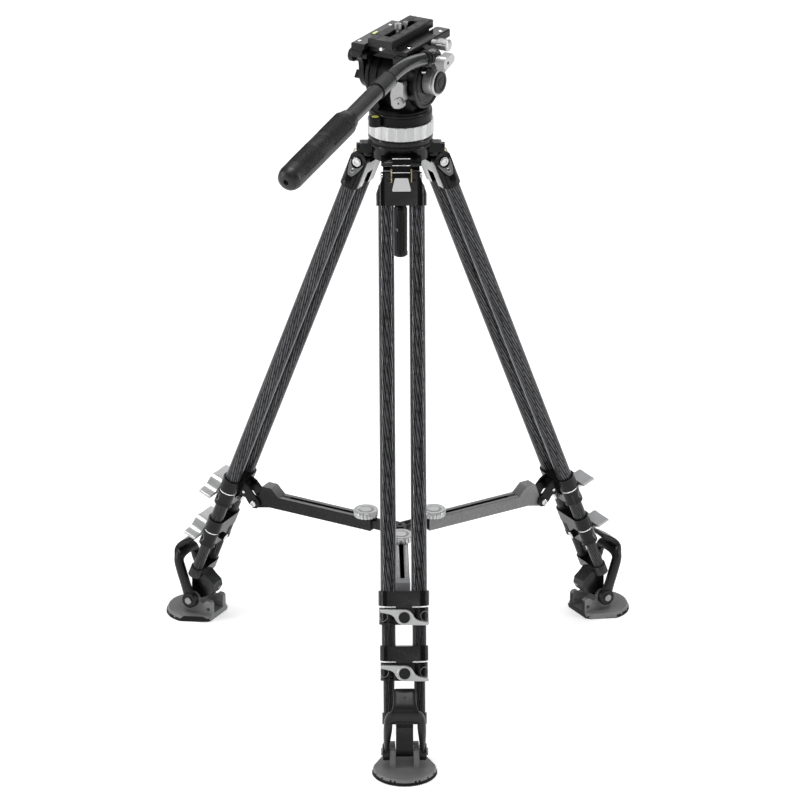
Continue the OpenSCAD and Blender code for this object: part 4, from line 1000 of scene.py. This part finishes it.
# ---------------------------------------------------------------- camera, light, floor
def camera():
    """Turned a little from the front leg, looking down, through a long lens."""
    turn, pitch, roll, yaw = (math.radians(v) for v in (-1.084, 23.309, 0.058, -0.004))
    away, height, lens = -6.128855, 3.058038, 208.974
    fw = Vector((math.sin(yaw) * math.cos(pitch), math.cos(yaw) * math.cos(pitch), -math.sin(pitch)))
    rt = Vector((math.cos(yaw), -math.sin(yaw), 0))
    up = rt.cross(fw)
    r2 = rt * math.cos(roll) + up * math.sin(roll)
    u2 = up * math.cos(roll) - rt * math.sin(roll)
    data = bpy.data.cameras.new("camera")
    data.sensor_width = 36
    data.lens = lens
    data.clip_end = 100
    cam = bpy.data.objects.new("camera", data)
    SCENE.collection.objects.link(cam)
    cam.matrix_world = Matrix.Rotation(turn, 4, "Z") @ basis(Vector((0, away, height)), r2, u2, -fw)
    SCENE.camera = cam


def area(name, at, to, size, power, shape="RECTANGLE", size_y=None):
    d = bpy.data.lights.new(name, "AREA")
    d.energy, d.size, d.shape = power, size, shape
    d.size_y = size_y or size
    o = bpy.data.objects.new(name, d)
    SCENE.collection.objects.link(o)
    o.location = at
    o.rotation_mode = "QUATERNION"
    o.rotation_quaternion = (Vector(to) - Vector(at)).to_track_quat("-Z", "Y")
    return o


camera()
SCENE.view_settings.view_transform = "Standard"
world = bpy.data.worlds.new("studio")
SCENE.world = world
world.use_nodes = True
sky = world.node_tree
height = node(sky, "ShaderNodeSeparateXYZ",
              {0: node(sky, "ShaderNodeTexCoord").outputs["Generated"]}).outputs[2]
tone = ramp(sky, height, [(0.0, (0.2, 0.2, 0.205)), (0.3, (0.23, 0.235, 0.24)), (0.62, (0.62, 0.63, 0.65)),
                          (1.0, grey(0.8))])
sky.links.new(tone, sky.nodes["Background"].inputs[0])
sky.nodes["Background"].inputs[1].default_value = 0.75
area("overhead", (-0.2, 0.1, 3.4), (0, 0, 0), 1.2, 40)
area("key_left", (-3.4, -0.9, 1.5), (0, 0, 0.5), 0.3, 48, size_y=2.8)
area("fill_right", (3.5, -0.6, 1.5), (0, 0, 0.5), 0.25, 38, size_y=2.6)
area("front", (-0.6, -8.4, 4.0), (0, 0, 0.5), 4.2, 55, size_y=3.0)
area("back", (0.6, 3.4, 2.4), (0, 0, 0.6), 2.4, 12, size_y=1.2)


def floor():
    """Pale paint, lit a little by itself so that it stays near white."""
    me = bpy.data.meshes.new("floor")
    bm = bmesh.new()
    bmesh.ops.create_grid(bm, x_segments=8, y_segments=8, size=30)
    bm.to_mesh(me)
    bm.free()
    o = bpy.data.objects.new("floor", me)
    SCENE.collection.objects.link(o)
    m, t, b = start("floor_paint", Roughness=0.7, Specular_IOR_Level=0.2)
    paint = ramp(t, noise(t, 0.8, 3.0), [(0.3, grey(0.86)), (0.7, grey(0.88))])
    link(t, paint, b, "Base Color")
    link(t, paint, b, "Emission Color")
    b.inputs["Emission Strength"].default_value = 0.5
    me.materials.append(m)


floor()
